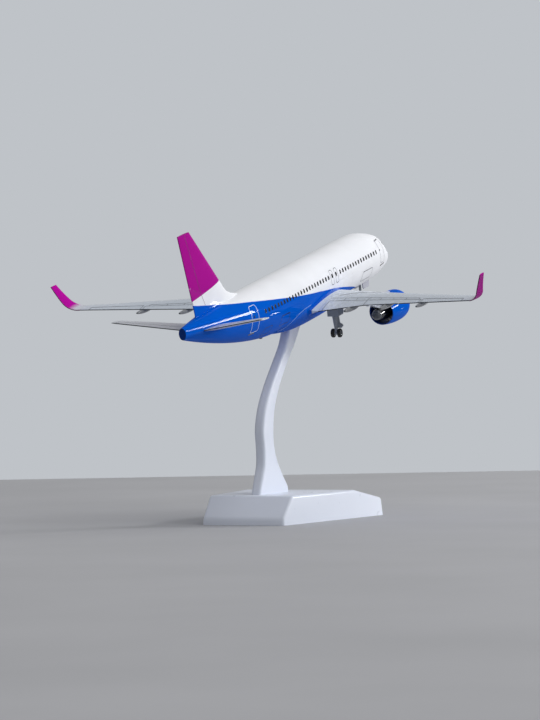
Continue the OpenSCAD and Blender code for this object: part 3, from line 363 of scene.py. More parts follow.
# How far a station lies along the tail's taper
def taper(s, line):
    return share(s, fuselage[line + "Start"], fuselage["length"]) ** fuselage[line + "Curve"]


def crown(s):
    half = fuselage["height"] / 2
    if s < fuselage["noseLen"]:
        return mix(-fuselage["noseDrop"], half, crownRise(s / fuselage["noseLen"]))
    return mix(half, fuselage["coneTop"], taper(s, "crown"))


def keel(s):
    half = fuselage["height"] / 2
    if s < fuselage["noseLen"]:
        return -fuselage["noseDrop"] - (half - fuselage["noseDrop"]) * noseSwell(s)
    return mix(-half, fuselage["coneBottom"], taper(s, "keel"))


def halfWidth(s):
    if s < fuselage["noseLen"]:
        return fuselage["width"] / 2 * noseSwell(s)
    return mix(fuselage["width"] / 2, fuselage["coneWidth"] / 2, taper(s, "side"))


# A point of the skin at a station; the angle is counted from the crown
def skinPoint(s, angle, lift=0.0):
    up, down = crown(s), keel(s)
    middle, half = (up + down) / 2, (up - down) / 2
    return Vector((-s, (halfWidth(s) + lift) * sin(angle), middle + (half + lift) * cos(angle)))


# A point of the belly fairing, at -1 to 1 across it: it starts from the skin at the split and swells
# into a squarer section below
def bellyPoint(s, t):
    middle = share(s, centre["front"], centre["rear"])
    full = 1 - abs(2 * middle - 1) ** centre["fullCurve"]
    mid = (crown(s) + keel(s)) / 2
    tall = (crown(s) - keel(s)) / 2
    angle = acos((mid - centre["split"]) / tall) * t
    power = 1 - centre["square"] * full
    lean = max(0.0, cos(pi / 2 * t)) ** centre["leanCurve"]
    hug = (halfWidth(s) * sin(angle), mid - tall * cos(angle))
    wide = ((halfWidth(s) + centre["out"] * full) * (1 if angle > 0 else -1) * abs(sin(angle)) ** power,
            mid - (tall + centre["drop"] * full) * cos(angle) ** power)
    z = centre["split"] if abs(t) > 0.999 else min(centre["split"] - 0.02, mix(hug[1], wide[1], lean))
    return Vector((-s, mix(hug[0], wide[0], lean), z))


# Print lies this far off its surface, or it would flicker with it
printLift = {"skin": 0.025, "belly": 0.055, "glass": 0.03}


# The place on the belly fairing at a height, found by halving
def onBelly(s, height, side):
    low, high = 0.0, 1.0
    for _ in range(24):
        t = (low + high) / 2
        low, high = (t, high) if bellyPoint(s, t).z < height else (low, t)
    point = bellyPoint(s, low)
    way = fromAxis(point).normalized()
    lift = printLift["belly"]
    return Vector((point.x, side * (point.y + lift * way.y), point.z + lift * way.z))


# The place on the fuselage's side at a height
def onSkin(side):
    def place(s, height):
        if centre["front"] + 0.5 < s < centre["rear"] - 0.05 and height < centre["split"] - 0.1:
            return onBelly(s, height, side)
        up, down = crown(s), keel(s)
        slope = (height - (up + down) / 2) / ((up - down) / 2)
        point = skinPoint(s, acos(max(-1.0, min(1.0, slope))), printLift["skin"])
        point.y *= side
        return point
    return place


# The way out from the fuselage's middle line
def fromAxis(point):
    return Vector((0, point.y, point.z - (crown(-point.x) + keel(-point.x)) / 2))


# Printed marks: cabin windows, doors, exits and hatches, the same on both sides. A door or hatch is
# station, height, half sizes and corner radius; a row of windows is first station, last station and
# number; a line is its places, as station and height.
marks = {
    "windowRows": [(27.2, 65.6, 15), (69.9, 73.9, 2), (77.6, 137.2, 23)], "windowHeight": 2.4,
    "windowHalf": (0.62, 0.86), "windowCorner": 0.45, "fine": 0.22, "bold": 0.3, "sill": 0.5,
    "frontDoor": (20.0, 1.55, 2.7, 4.55, 0.9), "rearDoor": (145.5, 1.3, 2.5, 4.95, 0.9),
    "exits": [(74.2, 1.85, 1.3, 2.85, 0.9), (69.6, 1.85, 1.3, 2.85, 0.9)],
    "frontHatch": (37.25, -4.6, 5.2, 1.9, 0.7),
    "rearHatches": [(120.8, -4.3, 3.7, 1.9, 0.5), (134.2, -5.7, 2.9, 1.5, 0.5)],
    "hatchHead": [(117.4, -2.6), (124.2, -2.4)], "frontTick": [(17.3, 5.95), (23, 6.12)],
    "frontHead": [(33.6, -2.72), (42, -2.72)],
    "sills": [[(16.8, -3.9), (22.7, -4.05)], [(144.6, -4.2), (148.4, -4.1)]],
    "bellyLine": [(119.4, -9.3), (116.8, -8.7), (113, -6.8), (108.4, -5.15), (103, -4.3), (97, -4)],
    "doorWindows": [(22.3, 2.4, 0.34, 0.5, 0.3), (146.2, 2.2, 0.34, 0.5, 0.3)],
}
ink = {"black": 1, "grey": 2, "white": 3, "navy": 4, "pale": 5, "coneEnd": 6}  # finishes of the shells


def fuselageMarks(bm):
    outlines = [(hole, "grey") for hole in (marks["frontDoor"], *marks["exits"], marks["frontHatch"])]
    outlines += [(marks["rearDoor"], "white")] + [(hatch, "navy") for hatch in marks["rearHatches"]]
    lines = [(line, "sill", "black") for line in marks["sills"]]
    lines += [(marks["frontTick"], "bold", "black"), (marks["frontHead"], "bold", "black"),
              (marks["hatchHead"], "bold", "navy"), (marks["bellyLine"], "fine", "pale")]
    lines += [(roundedPath(*hole), "fine", colour) for hole, colour in outlines]
    for side in (1, -1):
        place = onSkin(side)
        for first, last, count in marks["windowRows"]:
            for s in steps(count - 1, first, last):
                window = roundedRows(s, marks["windowHeight"], *marks["windowHalf"], marks["windowCorner"])
                addPatch(bm, place, window, fromAxis, ink["black"])
        for window in marks["doorWindows"]:
            addPatch(bm, place, roundedRows(*window), fromAxis, ink["black"])
        for path, width, colour in lines:
            addLine(bm, place, path, marks[width], fromAxis, ink[colour])
        glazing(bm, side)


# Cockpit glazing: three panes a side, on the slanted part of the crown. A corner is a station and an
# angle from the crown in degrees.
panes = {
    "front": [(8.4, 8), (12.6, 9), (12.3, 31), (8.1, 38)],
    "middle": [(8.3, 41), (12.3, 34), (13.1, 47), (11.1, 58)],
    "rear": [(11.4, 60), (13.4, 49.5), (14.1, 57), (13.9, 64)],
}


def glazing(bm, side):
    def place(s, angle):
        point = skinPoint(s, radians(angle), printLift["glass"])
        point.y *= side
        return point
    for corners in panes.values():
        grid = []
        for v in steps(5):
            left = [mix(corners[0][k], corners[3][k], v) for k in (0, 1)]
            right = [mix(corners[1][k], corners[2][k], v) for k in (0, 1)]
            grid.append([(mix(left[0], right[0], u), mix(left[1], right[1], u)) for u in steps(5)])
        addPatch(bm, place, grid, fromAxis, ink["black"])


# A section of the shells; where the belly fairing sits they are cut off at the split
def fuselageRing(s, cut):
    ring = []
    for j in range(fuselage["around"]):
        point = skinPoint(s, 2 * pi * j / fuselage["around"])
        if cut and point.z < centre["split"]:
            point.z = centre["split"]
        ring.append(point)
    return ring


# ABS sprayed white and blue under clear lacquer: deep colour, with a thin bright streak on each curve
shellLacquer = makeFinish("lacqueredAbsShell", scheme["white"], paint=shellPaint, gleam=0.0, coat=0.2)
# The cut-off end of the tail cone: the same lacquer in a darker blue, painted shade because it faces down
# and back
shadedEndLacquer = makeFinish("lacqueredAbsConeEndShade", "#05317d", gleam=0.1)
# Pad-printed black ink, smooth enough to pass for dark glass
blackInk = makeFinish("padPrintedBlackInk", "#15181d", rough=0.12, coat=0.6, mottle=0.1, mottleSize=1.2)
# Pad-printed line inks: thin, and a little duller than the lacquer around them
greyInk = makeFinish("padPrintedGreyInk", "#5a616e", rough=0.35, mottle=0.08, mottleSize=2)
whiteInk = makeFinish("padPrintedWhiteInk", "#dbe6f7", rough=0.3, mottle=0.05, mottleSize=2)
navyInk = makeFinish("padPrintedNavyInk", "#041f52", rough=0.3, gleam=0.2, mottle=0.08, mottleSize=2)
paleInk = makeFinish("padPrintedPaleBlueInk", "#8ab0ee", rough=0.3, gleam=0.2, mottle=0.05, mottleSize=2)


def buildFuselage():
    front = [mix(fuselage["noseTip"], fuselage["noseLen"], t ** fuselage["noseSpread"])
             for t in steps(fuselage["noseRings"])] + steps(*fuselage["frontRings"], centre["front"])
    step = centre["cutStep"]
    middle = [centre["front"] + step] + steps(*centre["cutRings"]) + [centre["rear"] - step]
    rear = steps(fuselage["tailRings"], centre["rear"], fuselage["length"])
    rings = [fuselageRing(s, False) for s in front] + [fuselageRing(s, True) for s in middle]
    rings += [fuselageRing(s, False) for s in rear]
    bm = bmesh.new()
    loft(bm, rings)[1].material_index = ink["coneEnd"]
    finishes = [shellLacquer, blackInk, greyInk, whiteInk, navyInk, paleInk, shadedEndLacquer]
    makePiece("fuselageShells", bm, finishes, "airframe", ["fuselage_left", "fuselage_right"],
              marks=fuselageMarks)


buildFuselage()
print("fuselage done")


# Wing. Its sections run from the upper rear edge over the nose to the lower one.
wing = {
    "semi": 80.8, "rootY": 12.6, "kinkY": 32, "le": 61.7, "sweep": 28.6, "te": 97.9, "tipChord": 8.8,
    "drop": 5.9, "dihedral": 4.7, "twist": 2.5, "washout": 1.3, "rootThick": 0.145, "tipThick": 0.11,
    "edge": 0.35, "camber": 0.012, "foilSteps": 22, "innerSpans": 4, "outerSpans": 12,
}
# Fairings of the flap tracks: each is distance from the centreline, reach behind the wing and radius
track = {
    "places": [(25.6, 5.2, 1.2), (42, 5.8, 1.05), (58.2, 4.4, 0.98)], "lead": 10, "rise": 0.6,
    "below": 0.35, "sink": 0.9, "bulge": 0.9, "blunt": 0.46, "wide": 0.92, "tall": 0.88,
    "rings": 26, "around": 28, "darkFrom": 25,
}


# Half thickness of a common four-digit wing section, for a thickness of 1
def foilHalf(x):
    return 5 * (0.2969 * sqrt(x) - 0.126 * x - 0.3516 * x * x + 0.2843 * x**3 - 0.1036 * x**4)


# Height of a section's upper side, or with side -1 its lower one, at a share of the chord
def foilSide(chord, thick, camber, x, side=1):
    return chord * (4 * camber * x * (1 - x) + side * thick * foilHalf(x)) + side * wing["edge"] / 2 * x


# A section's outline as way back from its nose and height; grow sets it off outward
def foil(chord, thick, camber, grow=0.0):
    def point(x, side, off):
        return x * (chord + 2 * grow) - grow, foilSide(chord, thick, camber, x, side) + side * off
    shares = [(1 - cos(pi * t)) / 2 for t in steps(wing["foilSteps"])]
    upper = [point(x, 1, grow if x else 0) for x in reversed(shares)]
    return upper + [point(x, -1, grow) for x in shares[1:]]


# The strip that closes a section at its blunt rear edge has a finish of its own, a dark grey of painted
# shade
def rearStrip(i, j):
    return 2 if j == 2 * wing["foilSteps"] else 0


# Stands a section up in space, from its leading edge, its cant and its twist
def standing(ring, le, cant, twist, side=1):
    points = []
    for x, z in ring:
        back = x * cos(twist) + z * sin(twist)
        up = z * cos(twist) - x * sin(twist)
        points.append(Vector((le[0] - back, side * (le[1] - up * sin(cant)), le[2] + up * cos(cant))))
    return points


# Front edge, rear edge, height, twist and thickness of the wing, by distance from the centreline
def wingLe(y):
    return wing["le"] + y * tan(radians(wing["sweep"]))


def wingTe(y):
    tip = wingLe(wing["semi"]) + wing["tipChord"]
    return mix(wing["te"], tip, max(0.0, y - wing["kinkY"]) / (wing["semi"] - wing["kinkY"]))


def wingZ(y):
    return (y - wing["rootY"]) * tan(radians(wing["dihedral"])) - wing["drop"]


def wingSet(y):
    return radians(wing["twist"] * (1 - wing["washout"] * share(y, wing["rootY"], wing["semi"])))


def wingThick(y):
    return mix(wing["rootThick"], wing["tipThick"], share(y, wing["rootY"], wing["semi"]))


# Sets points of a section on the wing, at a distance from the centreline
def onSpan(points, y, side):
    rise = (wingTe(y) - wingLe(y)) / 2 * sin(wingSet(y))
    return standing(points, (-wingLe(y), y, wingZ(y) + rise), 0, wingSet(y), side)


def wingRing(y, side):
    return onSpan(foil(wingTe(y) - wingLe(y), wingThick(y), wing["camber"]), y, side)


def onWing(side):
    def place(s, y):
        chord = wingTe(y) - wingLe(y)
        c = share(s, wingLe(y), wingTe(y))
        up = foilSide(chord, wingThick(y), wing["camber"], c) + printLift["skin"]
        return onSpan([(c * chord, up)], y, side)[0]
    return place


def upward(point):
    return Vector((0, 0, 1))


# A mark's place on the wing is a distance from the centreline and a share of the chord; a dot row is
# two ends, as station and distance, and a number
wingLines = {
    "width": 0.3, "fine": 0.18,
    "spanwise": [
        [(13.4, 0.585), (31.5, 0.62), (56.5, 0.66)], [(14.2, 0.69), (31.8, 0.755), (57.6, 0.775)],
        [(58.6, 0.73), (77.5, 0.74)],
    ],
    "chordwise": [(20.6, 0.59, 0.71), (26.2, 0.6, 0.73), (31.6, 0.61, 0.998), (37.8, 0.63, 0.76),
                  (44, 0.64, 0.765), (50.2, 0.65, 0.77), (56.5, 0.66, 0.775), (57.7, 0.775, 0.998),
                  (58.6, 0.73, 0.998), (77.5, 0.74, 0.998), (14.2, 0.69, 0.998)],
    "dots": [((83.4, 16.5), (81.5, 24), 11), ((81.5, 24), (82.7, 33), 13)],
    "dot": 0.3, "dotCorner": 0.12, "fineStep": 0.5,
}
# ABS moulded in grey with a satin skin: an even, pale grey with broad, soft highlights
wingAbs = makeFinish("mouldedSatinAbsGrey", scheme["wing"], rough=0.26, gleam=0.4, mottleSize=18)
# The same plastic on the track fairings, in a darker grey that is painted shade from the wing above them
shadedTrackAbs = makeFinish("mouldedSatinAbsTrackShade", "#8f9297", rough=0.3, gleam=0.4, mottle=0.04, mottleSize=5)
# Engraved lines filled with a dark wash: thin and matt
lineWash = makeFinish("engravedLineWash", "#4d545c", rough=0.5, mottle=0.1, mottleSize=3)
# The blunt rear edges, in a dark grey that is painted shade: they face away from the light and show as a
# dark line
shadedEdgeAbs = makeFinish("paintedShadeAbsEdge", "#3f444a", rough=0.4, mottle=0.08, mottleSize=4)


def wingSpot(y, c):
    return (mix(wingLe(y), wingTe(y), c), y)


def wingMarks(side):
    place = onWing(side)

    def add(bm):
        for line in wingLines["spanwise"]:
            addLine(bm, place, [wingSpot(y, c) for y, c in line], wingLines["width"], upward, 1)
        for y, *ends in wingLines["chordwise"]:
            path = [wingSpot(y, c) for c in ends]
            addLine(bm, place, path, wingLines["fine"], upward, 1, wingLines["fineStep"])
        for start, end, count in wingLines["dots"]:
            for t in steps(count):
                s, y = mix(start[0], end[0], t), mix(start[1], end[1], t)
                dot = roundedRows(s, y, wingLines["dot"], wingLines["dot"], wingLines["dotCorner"], 3)
                addPatch(bm, place, dot, upward, 1)
    return add


# A flap track's fairing: a slim blunt body hung below the wing's rear edge, dark at its end, where it takes
# the rear edges' painted-shade grey
def addTrack(bm, side, y, reach, r):
    top = wingZ(y) - track["below"] - track["sink"] * r
    length = track["lead"] + reach
    turns = [2 * pi * j / track["around"] for j in range(track["around"])]
    rings = []
    for t in steps(track["rings"], 0.004, 0.996):
        size = r * sin(pi * t ** track["bulge"]) ** track["blunt"]
        wide, tall = track["wide"] * size, track["tall"] * size
        x, z = track["lead"] - wingTe(y) - length * t, top + track["rise"] * t * t
        rings.append([Vector((x, side * y + wide * sin(a), z + tall * cos(a))) for a in turns])
    loft(bm, rings, kind=lambda i, j: 2 if i >= track["darkFrom"] else 3)


def buildWing(side, name):
    bm = bmesh.new()
    spans = steps(wing["innerSpans"], wing["rootY"], wing["kinkY"])
    spans += steps(wing["outerSpans"], wing["kinkY"], wing["semi"])[1:]
    loft(bm, [wingRing(y, side) for y in spans], kind=rearStrip)
    for y, reach, r in track["places"]:
        addTrack(bm, side, y, reach, r)
    makePiece("wingPanel_" + name, bm, [wingAbs, lineWash, shadedEdgeAbs, shadedTrackAbs], "airframe",
              ["wing_" + name], marks=wingMarks(side))


for side, name in sides:
    buildWing(side, name)

# Winglet. Its upper side fades from pale at the foot to magenta; its outer side and rear edge are darker
# magentas of painted shade.
winglet = {
    "height": 11, "cant": 68, "bendR": 5.8, "topChord": 4.3, "rake": 11.4, "topThick": 0.09,
    "chordCurve": 0.8, "rakeCurve": 0.55, "untwist": 2, "bendRings": 12, "bladeRings": 16,
    "fadeFrom": 1.7, "fade": 1.7, "foot": "#c9cdd6", "inner": "#b30f99", "outer": "#960b81",
}


def wingletPaint(tree, coords):
    y = put(tree, "SeparateXYZ", [coords], out=1)
    away = put(tree, "Math", [y], operation="ABSOLUTE")
    soft = winglet["fade"] / 2
    past = put(tree, "Math", [away, wing["semi"] + winglet["fadeFrom"] + soft], operation="SUBTRACT")
    return blend(tree, past, soft, paintOf(winglet["foot"]), paintOf(winglet["inner"]))


# Magenta lacquer sprayed on ABS and misted in at the foot: clean colour with a thin bright streak
mistedLacquer = makeFinish("sprayedLacquerMisted", winglet["inner"], paint=wingletPaint, gleam=0.0, coat=0.2)
# The same lacquer on the outer side, in a darker magenta that is painted shade, as the light reaches it less
shadedMagentaLacquer = makeFinish("sprayedLacquerMagentaShade", winglet["outer"], gleam=0.0, coat=0.2)
# Lacquer on the thin rear edge: a darker magenta of painted shade, and a little duller
shadedEdgeLacquer = makeFinish("sprayedLacquerEdgeShade", "#5c0d4f", rough=0.3)


# Way out, way up and cant of a section, from the foot round the bend and up the blade
def wingletSpot(k):
    low, high, r = radians(wing["dihedral"]), radians(winglet["cant"]), winglet["bendR"]
    bend = winglet["bendRings"]
    if k <= bend:
        a = mix(low, high, k / bend)
        return r * (sin(a) - sin(low)), r * (cos(low) - cos(a)), a
    endY, endZ, a = wingletSpot(bend)
    rise = (winglet["height"] - endZ) * (k - bend) / winglet["bladeRings"]
    return endY + rise / tan(high), endZ + rise, high


def buildWinglet(side, name):
    bm = bmesh.new()
    tip = wingSet(wing["semi"])
    footZ = wingZ(wing["semi"]) + wing["tipChord"] / 2 * sin(tip)
    rings = []
    for k in range(winglet["bendRings"] + winglet["bladeRings"] + 1):
        out, up, cant = wingletSpot(k)
        rise = up / winglet["height"]
        chord = mix(wing["tipChord"], winglet["topChord"], rise ** winglet["chordCurve"])
        back = wingLe(wing["semi"]) + winglet["rake"] * rise ** winglet["rakeCurve"]
        section = foil(chord, mix(wing["tipThick"], winglet["topThick"], rise), wing["camber"])
        twist = mix(tip, 0, min(1, rise * winglet["untwist"]))
        le = (-back, wing["semi"] + out, footZ + up)
        rings.append(standing(section, le, cant if k else 0, twist, side))
    loft(bm, rings, kind=lambda i, j: min(2, j // wing["foilSteps"]))
    makePiece("wingletBlade_" + name, bm, [mistedLacquer, shadedMagentaLacquer, shadedEdgeLacquer], "airframe",
              ["winglet_" + name])


for side, name in sides:
    buildWinglet(side, name)
print("wings done")

# Centre section: belly fairing with the filleted wing stubs. A stub is the wing's grey outboard of a
# slanted edge, given by its distance from the centreline at two stations.
stub = {"reach": 3.8, "swell": 1.1, "rings": 10, "rear": 98, "rearY": 10.2, "front": 66, "frontY": 12.4,
        "soft": 0.06}
# Slot for the stem: length and thickness of its head, and length, thickness and height of its tongue
seat = {"ahead": 1.5, "sink": 0.4, "head": (11.8, 4), "tongue": (8, 2.2, 7), "gap": 0.1}
seatLow = -fuselage["height"] / 2 - centre["drop"] + seat["sink"]


# Box round the stem's head and the box of its tongue, in the aircraft's frame
def seatBoxes(gap):
    middle = seat["ahead"] - hold["station"]
    boxes = []
    for length, thick, low, high in ((*seat["head"], -3, 0), (*seat["tongue"][:2], -1, seat["tongue"][2])):
        boxes.append(boxAt((middle - length / 2 - gap, -thick / 2 - gap, seatLow + low),
                           (middle + length / 2 + gap, thick / 2 + gap, seatLow + high)))
    return boxes


# A section of the stub: the wing's root, swelling towards the belly
def stubRing(y):
    near = (wing["rootY"] - abs(y)) / stub["reach"]
    chord = wingTe(wing["rootY"]) - wingLe(wing["rootY"])
    section = foil(chord, wing["rootThick"], wing["camber"], stub["swell"] * near * near)
    return [Vector((p.x, y, p.z)) for p in onSpan(section, wing["rootY"], 1)]


def stubPaint(tree, coords):
    inner = shellPaint(tree, coords)
    x = put(tree, "SeparateXYZ", [coords])
    away = put(tree, "Math", [x.node.outputs[1]], operation="ABSOLUTE")
    edge = put(tree, "MapRange", [x, -stub["rear"], -stub["front"], stub["rearY"], stub["frontY"]])
    past = put(tree, "Math", [away, edge], operation="SUBTRACT")
    return blend(tree, past, stub["soft"], inner, paintOf(scheme["wing"]))


# Grey ABS of the wing root, smooth where the fairing's lacquer runs onto it
rootAbs = makeFinish("mouldedAbsWingRoot", scheme["wing"], paint=stubPaint, gleam=0.15)


def buildCentre():
    bm = bmesh.new()
    stations = [mix(centre["front"], centre["rear"], ease(t)) for t in steps(centre["rings"])]
    loft(bm, [[bellyPoint(s, t) for t in steps(centre["around"], 1, -1)] for s in stations])
    bm = carve(bm, seatBoxes(seat["gap"]))
    inner = wing["rootY"] - stub["reach"]
    for side in (1, -1):
        spans = steps(stub["rings"], wing["rootY"], inner)
        loft(bm, [stubRing(side * y) for y in spans], kind=lambda i, j: 1)
    makePiece("bellyFairing", bm, [shellLacquer, rootAbs], "airframe", ["centre_section"])


buildCentre()
print("belly done")

# Fin and tailplane. A line on the fin is station and height, one on the tailplane distance from the
# centreline and share of the chord.
fin = {
    "top": 40.1, "foot": 10.35, "plug": 7.3, "le": 148.2, "tipLe": 175.8, "te": 178.2, "tipTe": 185.2,
    "thick": 2.7, "tipThick": 0.95, "fillet": 7, "filletTall": 4, "filletCurve": 2.2,
    "rudder": [(170.6, 12.1), (172.9, 16.65), (180.4, 39.6)], "lineWidth": 0.16, "lowRings": 24,
    "highRings": 10,
}
stab = {
    "le": 159.6, "semi": 29.8, "sweep": 33.7, "root": 19.3, "tip": 6.9, "rise": 1.8, "dihedral": 13.4,
    "set": 6.8, "rootY": 2.6, "thick": 0.1, "capFrom": 0.96, "capIn": 0.08,
    "hinge": [(5.2, 0.72), (28.2, 0.7)], "hingeWidth": 0.14, "ends": (0.71, 0.998), "endWidth": 0.1,
    "fineStep": 0.5, "spans": 6,
}


def finUp(z):
    return share(z, fin["foot"], fin["top"])


def finLe(z):
    low = 1 - share(z, fin["foot"], fin["foot"] + fin["filletTall"])
    return mix(fin["le"], fin["tipLe"], finUp(z)) - fin["fillet"] * low ** fin["filletCurve"]


def finTe(z):
    return mix(fin["te"], fin["tipTe"], finUp(z))


def finThick(z):
    return mix(fin["thick"], fin["tipThick"], finUp(z)) / (finTe(z) - finLe(z))


def finRing(z):
    return [Vector((-finLe(z) - x, -side, z)) for x, side in foil(finTe(z) - finLe(z), finThick(z), 0)]


def onFin(side):
    def place(s, z):
        c = share(s, finLe(z), finTe(z))
        off = foilSide(finTe(z) - finLe(z), finThick(z), 0, c) + printLift["skin"]
        return Vector((-s, side * off, z))
    return place


def finMarks(bm):
    for side in (1, -1):
        addLine(bm, onFin(side), fin["rudder"], fin["lineWidth"], lambda point: Vector((0, side, 0)), 1)


# The fin's lacquer: the shells' colours at its foot, magenta above, with a thin bright streak
finLacquer = makeFinish("sprayedLacquerFin", scheme["magenta"], paint=finPaint, gleam=0.0, coat=0.2)
# The rudder's engraved groove, filled with a dark wash: matt
grooveWash = makeFinish("engravedGrooveWash", "#4d0f46", rough=0.5, mottle=0.1, mottleSize=3)
# Satin ABS moulded in a cooler grey than the wing's
stabAbs = makeFinish("mouldedSatinAbsTailGrey", "#cdd2db", rough=0.28, gleam=0.4, mottleSize=12)


def buildFin():
    bm = bmesh.new()
    filletTop = fin["foot"] + fin["filletTall"]
    heights = [fin["plug"]] + steps(fin["lowRings"], fin["foot"], filletTop)
    heights += steps(fin["highRings"], filletTop, fin["top"])[1:]
    loft(bm, [finRing(z) for z in heights])
    makePiece("finBlade", bm, [finLacquer, grooveWash], "airframe", ["fin"], marks=finMarks)


def stabFront(y):
    return stab["le"] + y * tan(radians(stab["sweep"]))


def stabChord(y):
    return mix(stab["root"], stab["tip"], y / stab["semi"])


# Sets points of a section on the tailplane, at a distance from the centreline
def onHalf(points, y, side):
    le = (-stabFront(y), y, stab["rise"] + y * tan(radians(stab["dihedral"])))
    return standing(points, le, 0, radians(-stab["set"]), side)


def stabRing(y, side, grow=0.0):
    return onHalf(foil(stabChord(y), stab["thick"], 0, grow), y, side)


def stabMarks(side):
    def place(s, y):
        c = share(s, stabFront(y), stabFront(y) + stabChord(y))
        up = foilSide(stabChord(y), stab["thick"], 0, c) + printLift["skin"]
        return onHalf([(c * stabChord(y), up)], y, side)[0]

    def spot(y, c):
        return (stabFront(y) + c * stabChord(y), y)

    def add(bm):
        addLine(bm, place, [spot(y, c) for y, c in stab["hinge"]], stab["hingeWidth"], upward, 1)
        for y, _ in stab["hinge"]:
            path = [spot(y, c) for c in stab["ends"]]
            addLine(bm, place, path, stab["endWidth"], upward, 1, stab["fineStep"])
    return add


def buildStab(side, name):
    bm = bmesh.new()
    spans = steps(stab["spans"], stab["rootY"], stab["semi"] * stab["capFrom"])
    rings = [stabRing(y, side) for y in spans]
    loft(bm, rings + [stabRing(stab["semi"], side, -stab["capIn"])], kind=rearStrip)
    makePiece("tailplaneHalf_" + name, bm, [stabAbs, lineWash, shadedEdgeAbs], "airframe",
              ["tailplane_" + name], marks=stabMarks(side))


buildFin()
for side, name in sides:
    buildStab(side, name)
print("tail done")

# Engines. Lengths count back from the inlet.
engine = {
    "y": 30.5, "drop": 11.6, "inlet": 61.5, "around": 72, "curveSteps": 18, "roundSteps": 10,
    "cowlLen": 16.8, "cowlR": 6.1, "belly": 4.5, "exitR": 4.95, "edge": 0.3, "lipR": 5.1, "lipBand": 0.9,
    "throat": 1.8, "throatR": 4.45, "ductR": 4.6, "ductFront": 2.8, "ductRear": 8.2,
    "coreFront": 5.7, "coreLen": 15.4, "coreNose": 4, "coreNoseR": 1.6, "coreR": 3.4, "coreExit": 2.1,
    "nozzleEdge": 0.25, "nozzleWall": 0.35, "nozzleDeep": 1.6,
    "plugLen": 2.6, "plugR": 2.0, "plugFoot": 1.5, "plugFootR": 1.4, "plugGap": 0.4,
}
# The pylon is a slim plate that tapers to both ends. A row is its place behind the front end, or with a
# minus ahead of the rear end, its top over the cowl's, its foot over the axis and its half width. At the
# rear end top and foot count down from the wing.
pylon = {
    "start": 6.2, "shy": 6, "end": (1.2, 2, 0.15),
    "rows": [(0, -0.8, 4, 0.25), (2, 0.5, 2, 0.7), (7, 1.1, 1.4, 0.8), (14, 1.6, 2.4, 0.75),
             (-4, 1.8, 4.7, 0.5)],
}
# ABS sprayed blue under clear lacquer, as the shells are: deep colour with a thin bright streak
cowlLacquer = makeFinish("lacqueredAbsCowl", scheme["blue"], gleam=0.0, coat=0.2)
# Silver enamel on the lip: bright, with a soft mirror of the room
silverEnamel = makeFinish("silverEnamelLip", "#c3c7cc", rough=0.22, metal=0.9, mottle=0.04, mottleSize=4)
# ABS moulded in navy inside the duct: glossy but dark
ductAbs = makeFinish("mouldedAbsNavyDuct", "#0a3a8c", gleam=0.3, mottle=0.08, mottleSize=4)
# Black enamel on the core: nearly black, with sharp highlights
blackEnamel = makeFinish("blackEnamelCore", "#0e1013", rough=0.16, coat=0.3, mottle=0.08, mottleSize=5)
# Gunmetal enamel on the spinner: a dark metal with a soft shine
gunmetalEnamel = makeFinish("gunmetalEnamel", "#4b5058", rough=0.3, metal=0.7, mottle=0.08, mottleSize=5)
# Grey gloss enamel on the exhaust plug
plugEnamel = makeFinish("greyEnamelPlug", "#4a4e55", coat=0.2, mottle=0.06, mottleSize=3)
# ABS moulded in grey with a gloss skin, on the pylon
pylonAbs = makeFinish("mouldedGlossAbsPylon", "#ccd1dc", rough=0.26, coat=0.2)
# Titanium-coloured enamel on the blades: mid grey metal, soft enough to part one blade from the next
bladeEnamel = makeFinish("titaniumEnamelBlades", "#7d828a", rough=0.28, metal=0.8, mottle=0.08,
                         mottleSize=1.5)


# Turns a profile, given as distance behind the inlet and radius, round the engine's axis
def turned(bm, side, profile, kind=0):
    middle = Vector((-engine["inlet"], side * engine["y"], -engine["drop"]))
    verts = [bm.verts.new(middle + Vector((-depth, 0, r))) for depth, r in profile]
    edges = [bm.edges.new(pair) for pair in zip(verts, verts[1:])]
    done = len(bm.faces)
    bmesh.ops.spin(bm, geom=verts + edges, cent=middle, axis=(1, 0, 0), angle=2 * pi,
                   steps=engine["around"], use_merge=True)
    bm.faces.ensure_lookup_table()
    for face in bm.faces[done:]:
        face.material_index = kind


def buildCowl(side, name):
    e = engine
    outer = [(e["belly"] * (1 - cos(pi / 2 * t)), mix(e["lipR"], e["cowlR"], sin(pi / 2 * t)))
             for t in steps(e["curveSteps"])]
    outer += [(mix(e["belly"], e["cowlLen"], t), mix(e["cowlR"], e["exitR"], t * t))
              for t in steps(e["curveSteps"])[1:]]
    inner = [(e["cowlLen"], e["exitR"] - e["edge"]), (e["ductRear"], e["ductR"]),
             (e["ductFront"], e["ductR"])]
    inner += [(e["throat"] * (1 - sin(pi / 2 * t)), mix(e["lipR"], e["throatR"], cos(pi / 2 * t)))
              for t in steps(e["roundSteps"])[:-1]]
    lipEnd = sum(depth < e["lipBand"] for depth, r in outer)
    lipStart = sum(depth >= e["lipBand"] for depth, r in inner)
    bm = bmesh.new()
    turned(bm, side, outer[lipEnd - 1:])
    turned(bm, side, inner[lipStart:] + outer[:lipEnd], 1)
    turned(bm, side, outer[-1:] + inner[:lipStart + 1], 2)
    makePiece("cowlShell_" + name, bm, [cowlLacquer, silverEnamel, ductAbs], "airframe",
              ["cowl_" + name], sharp=45)


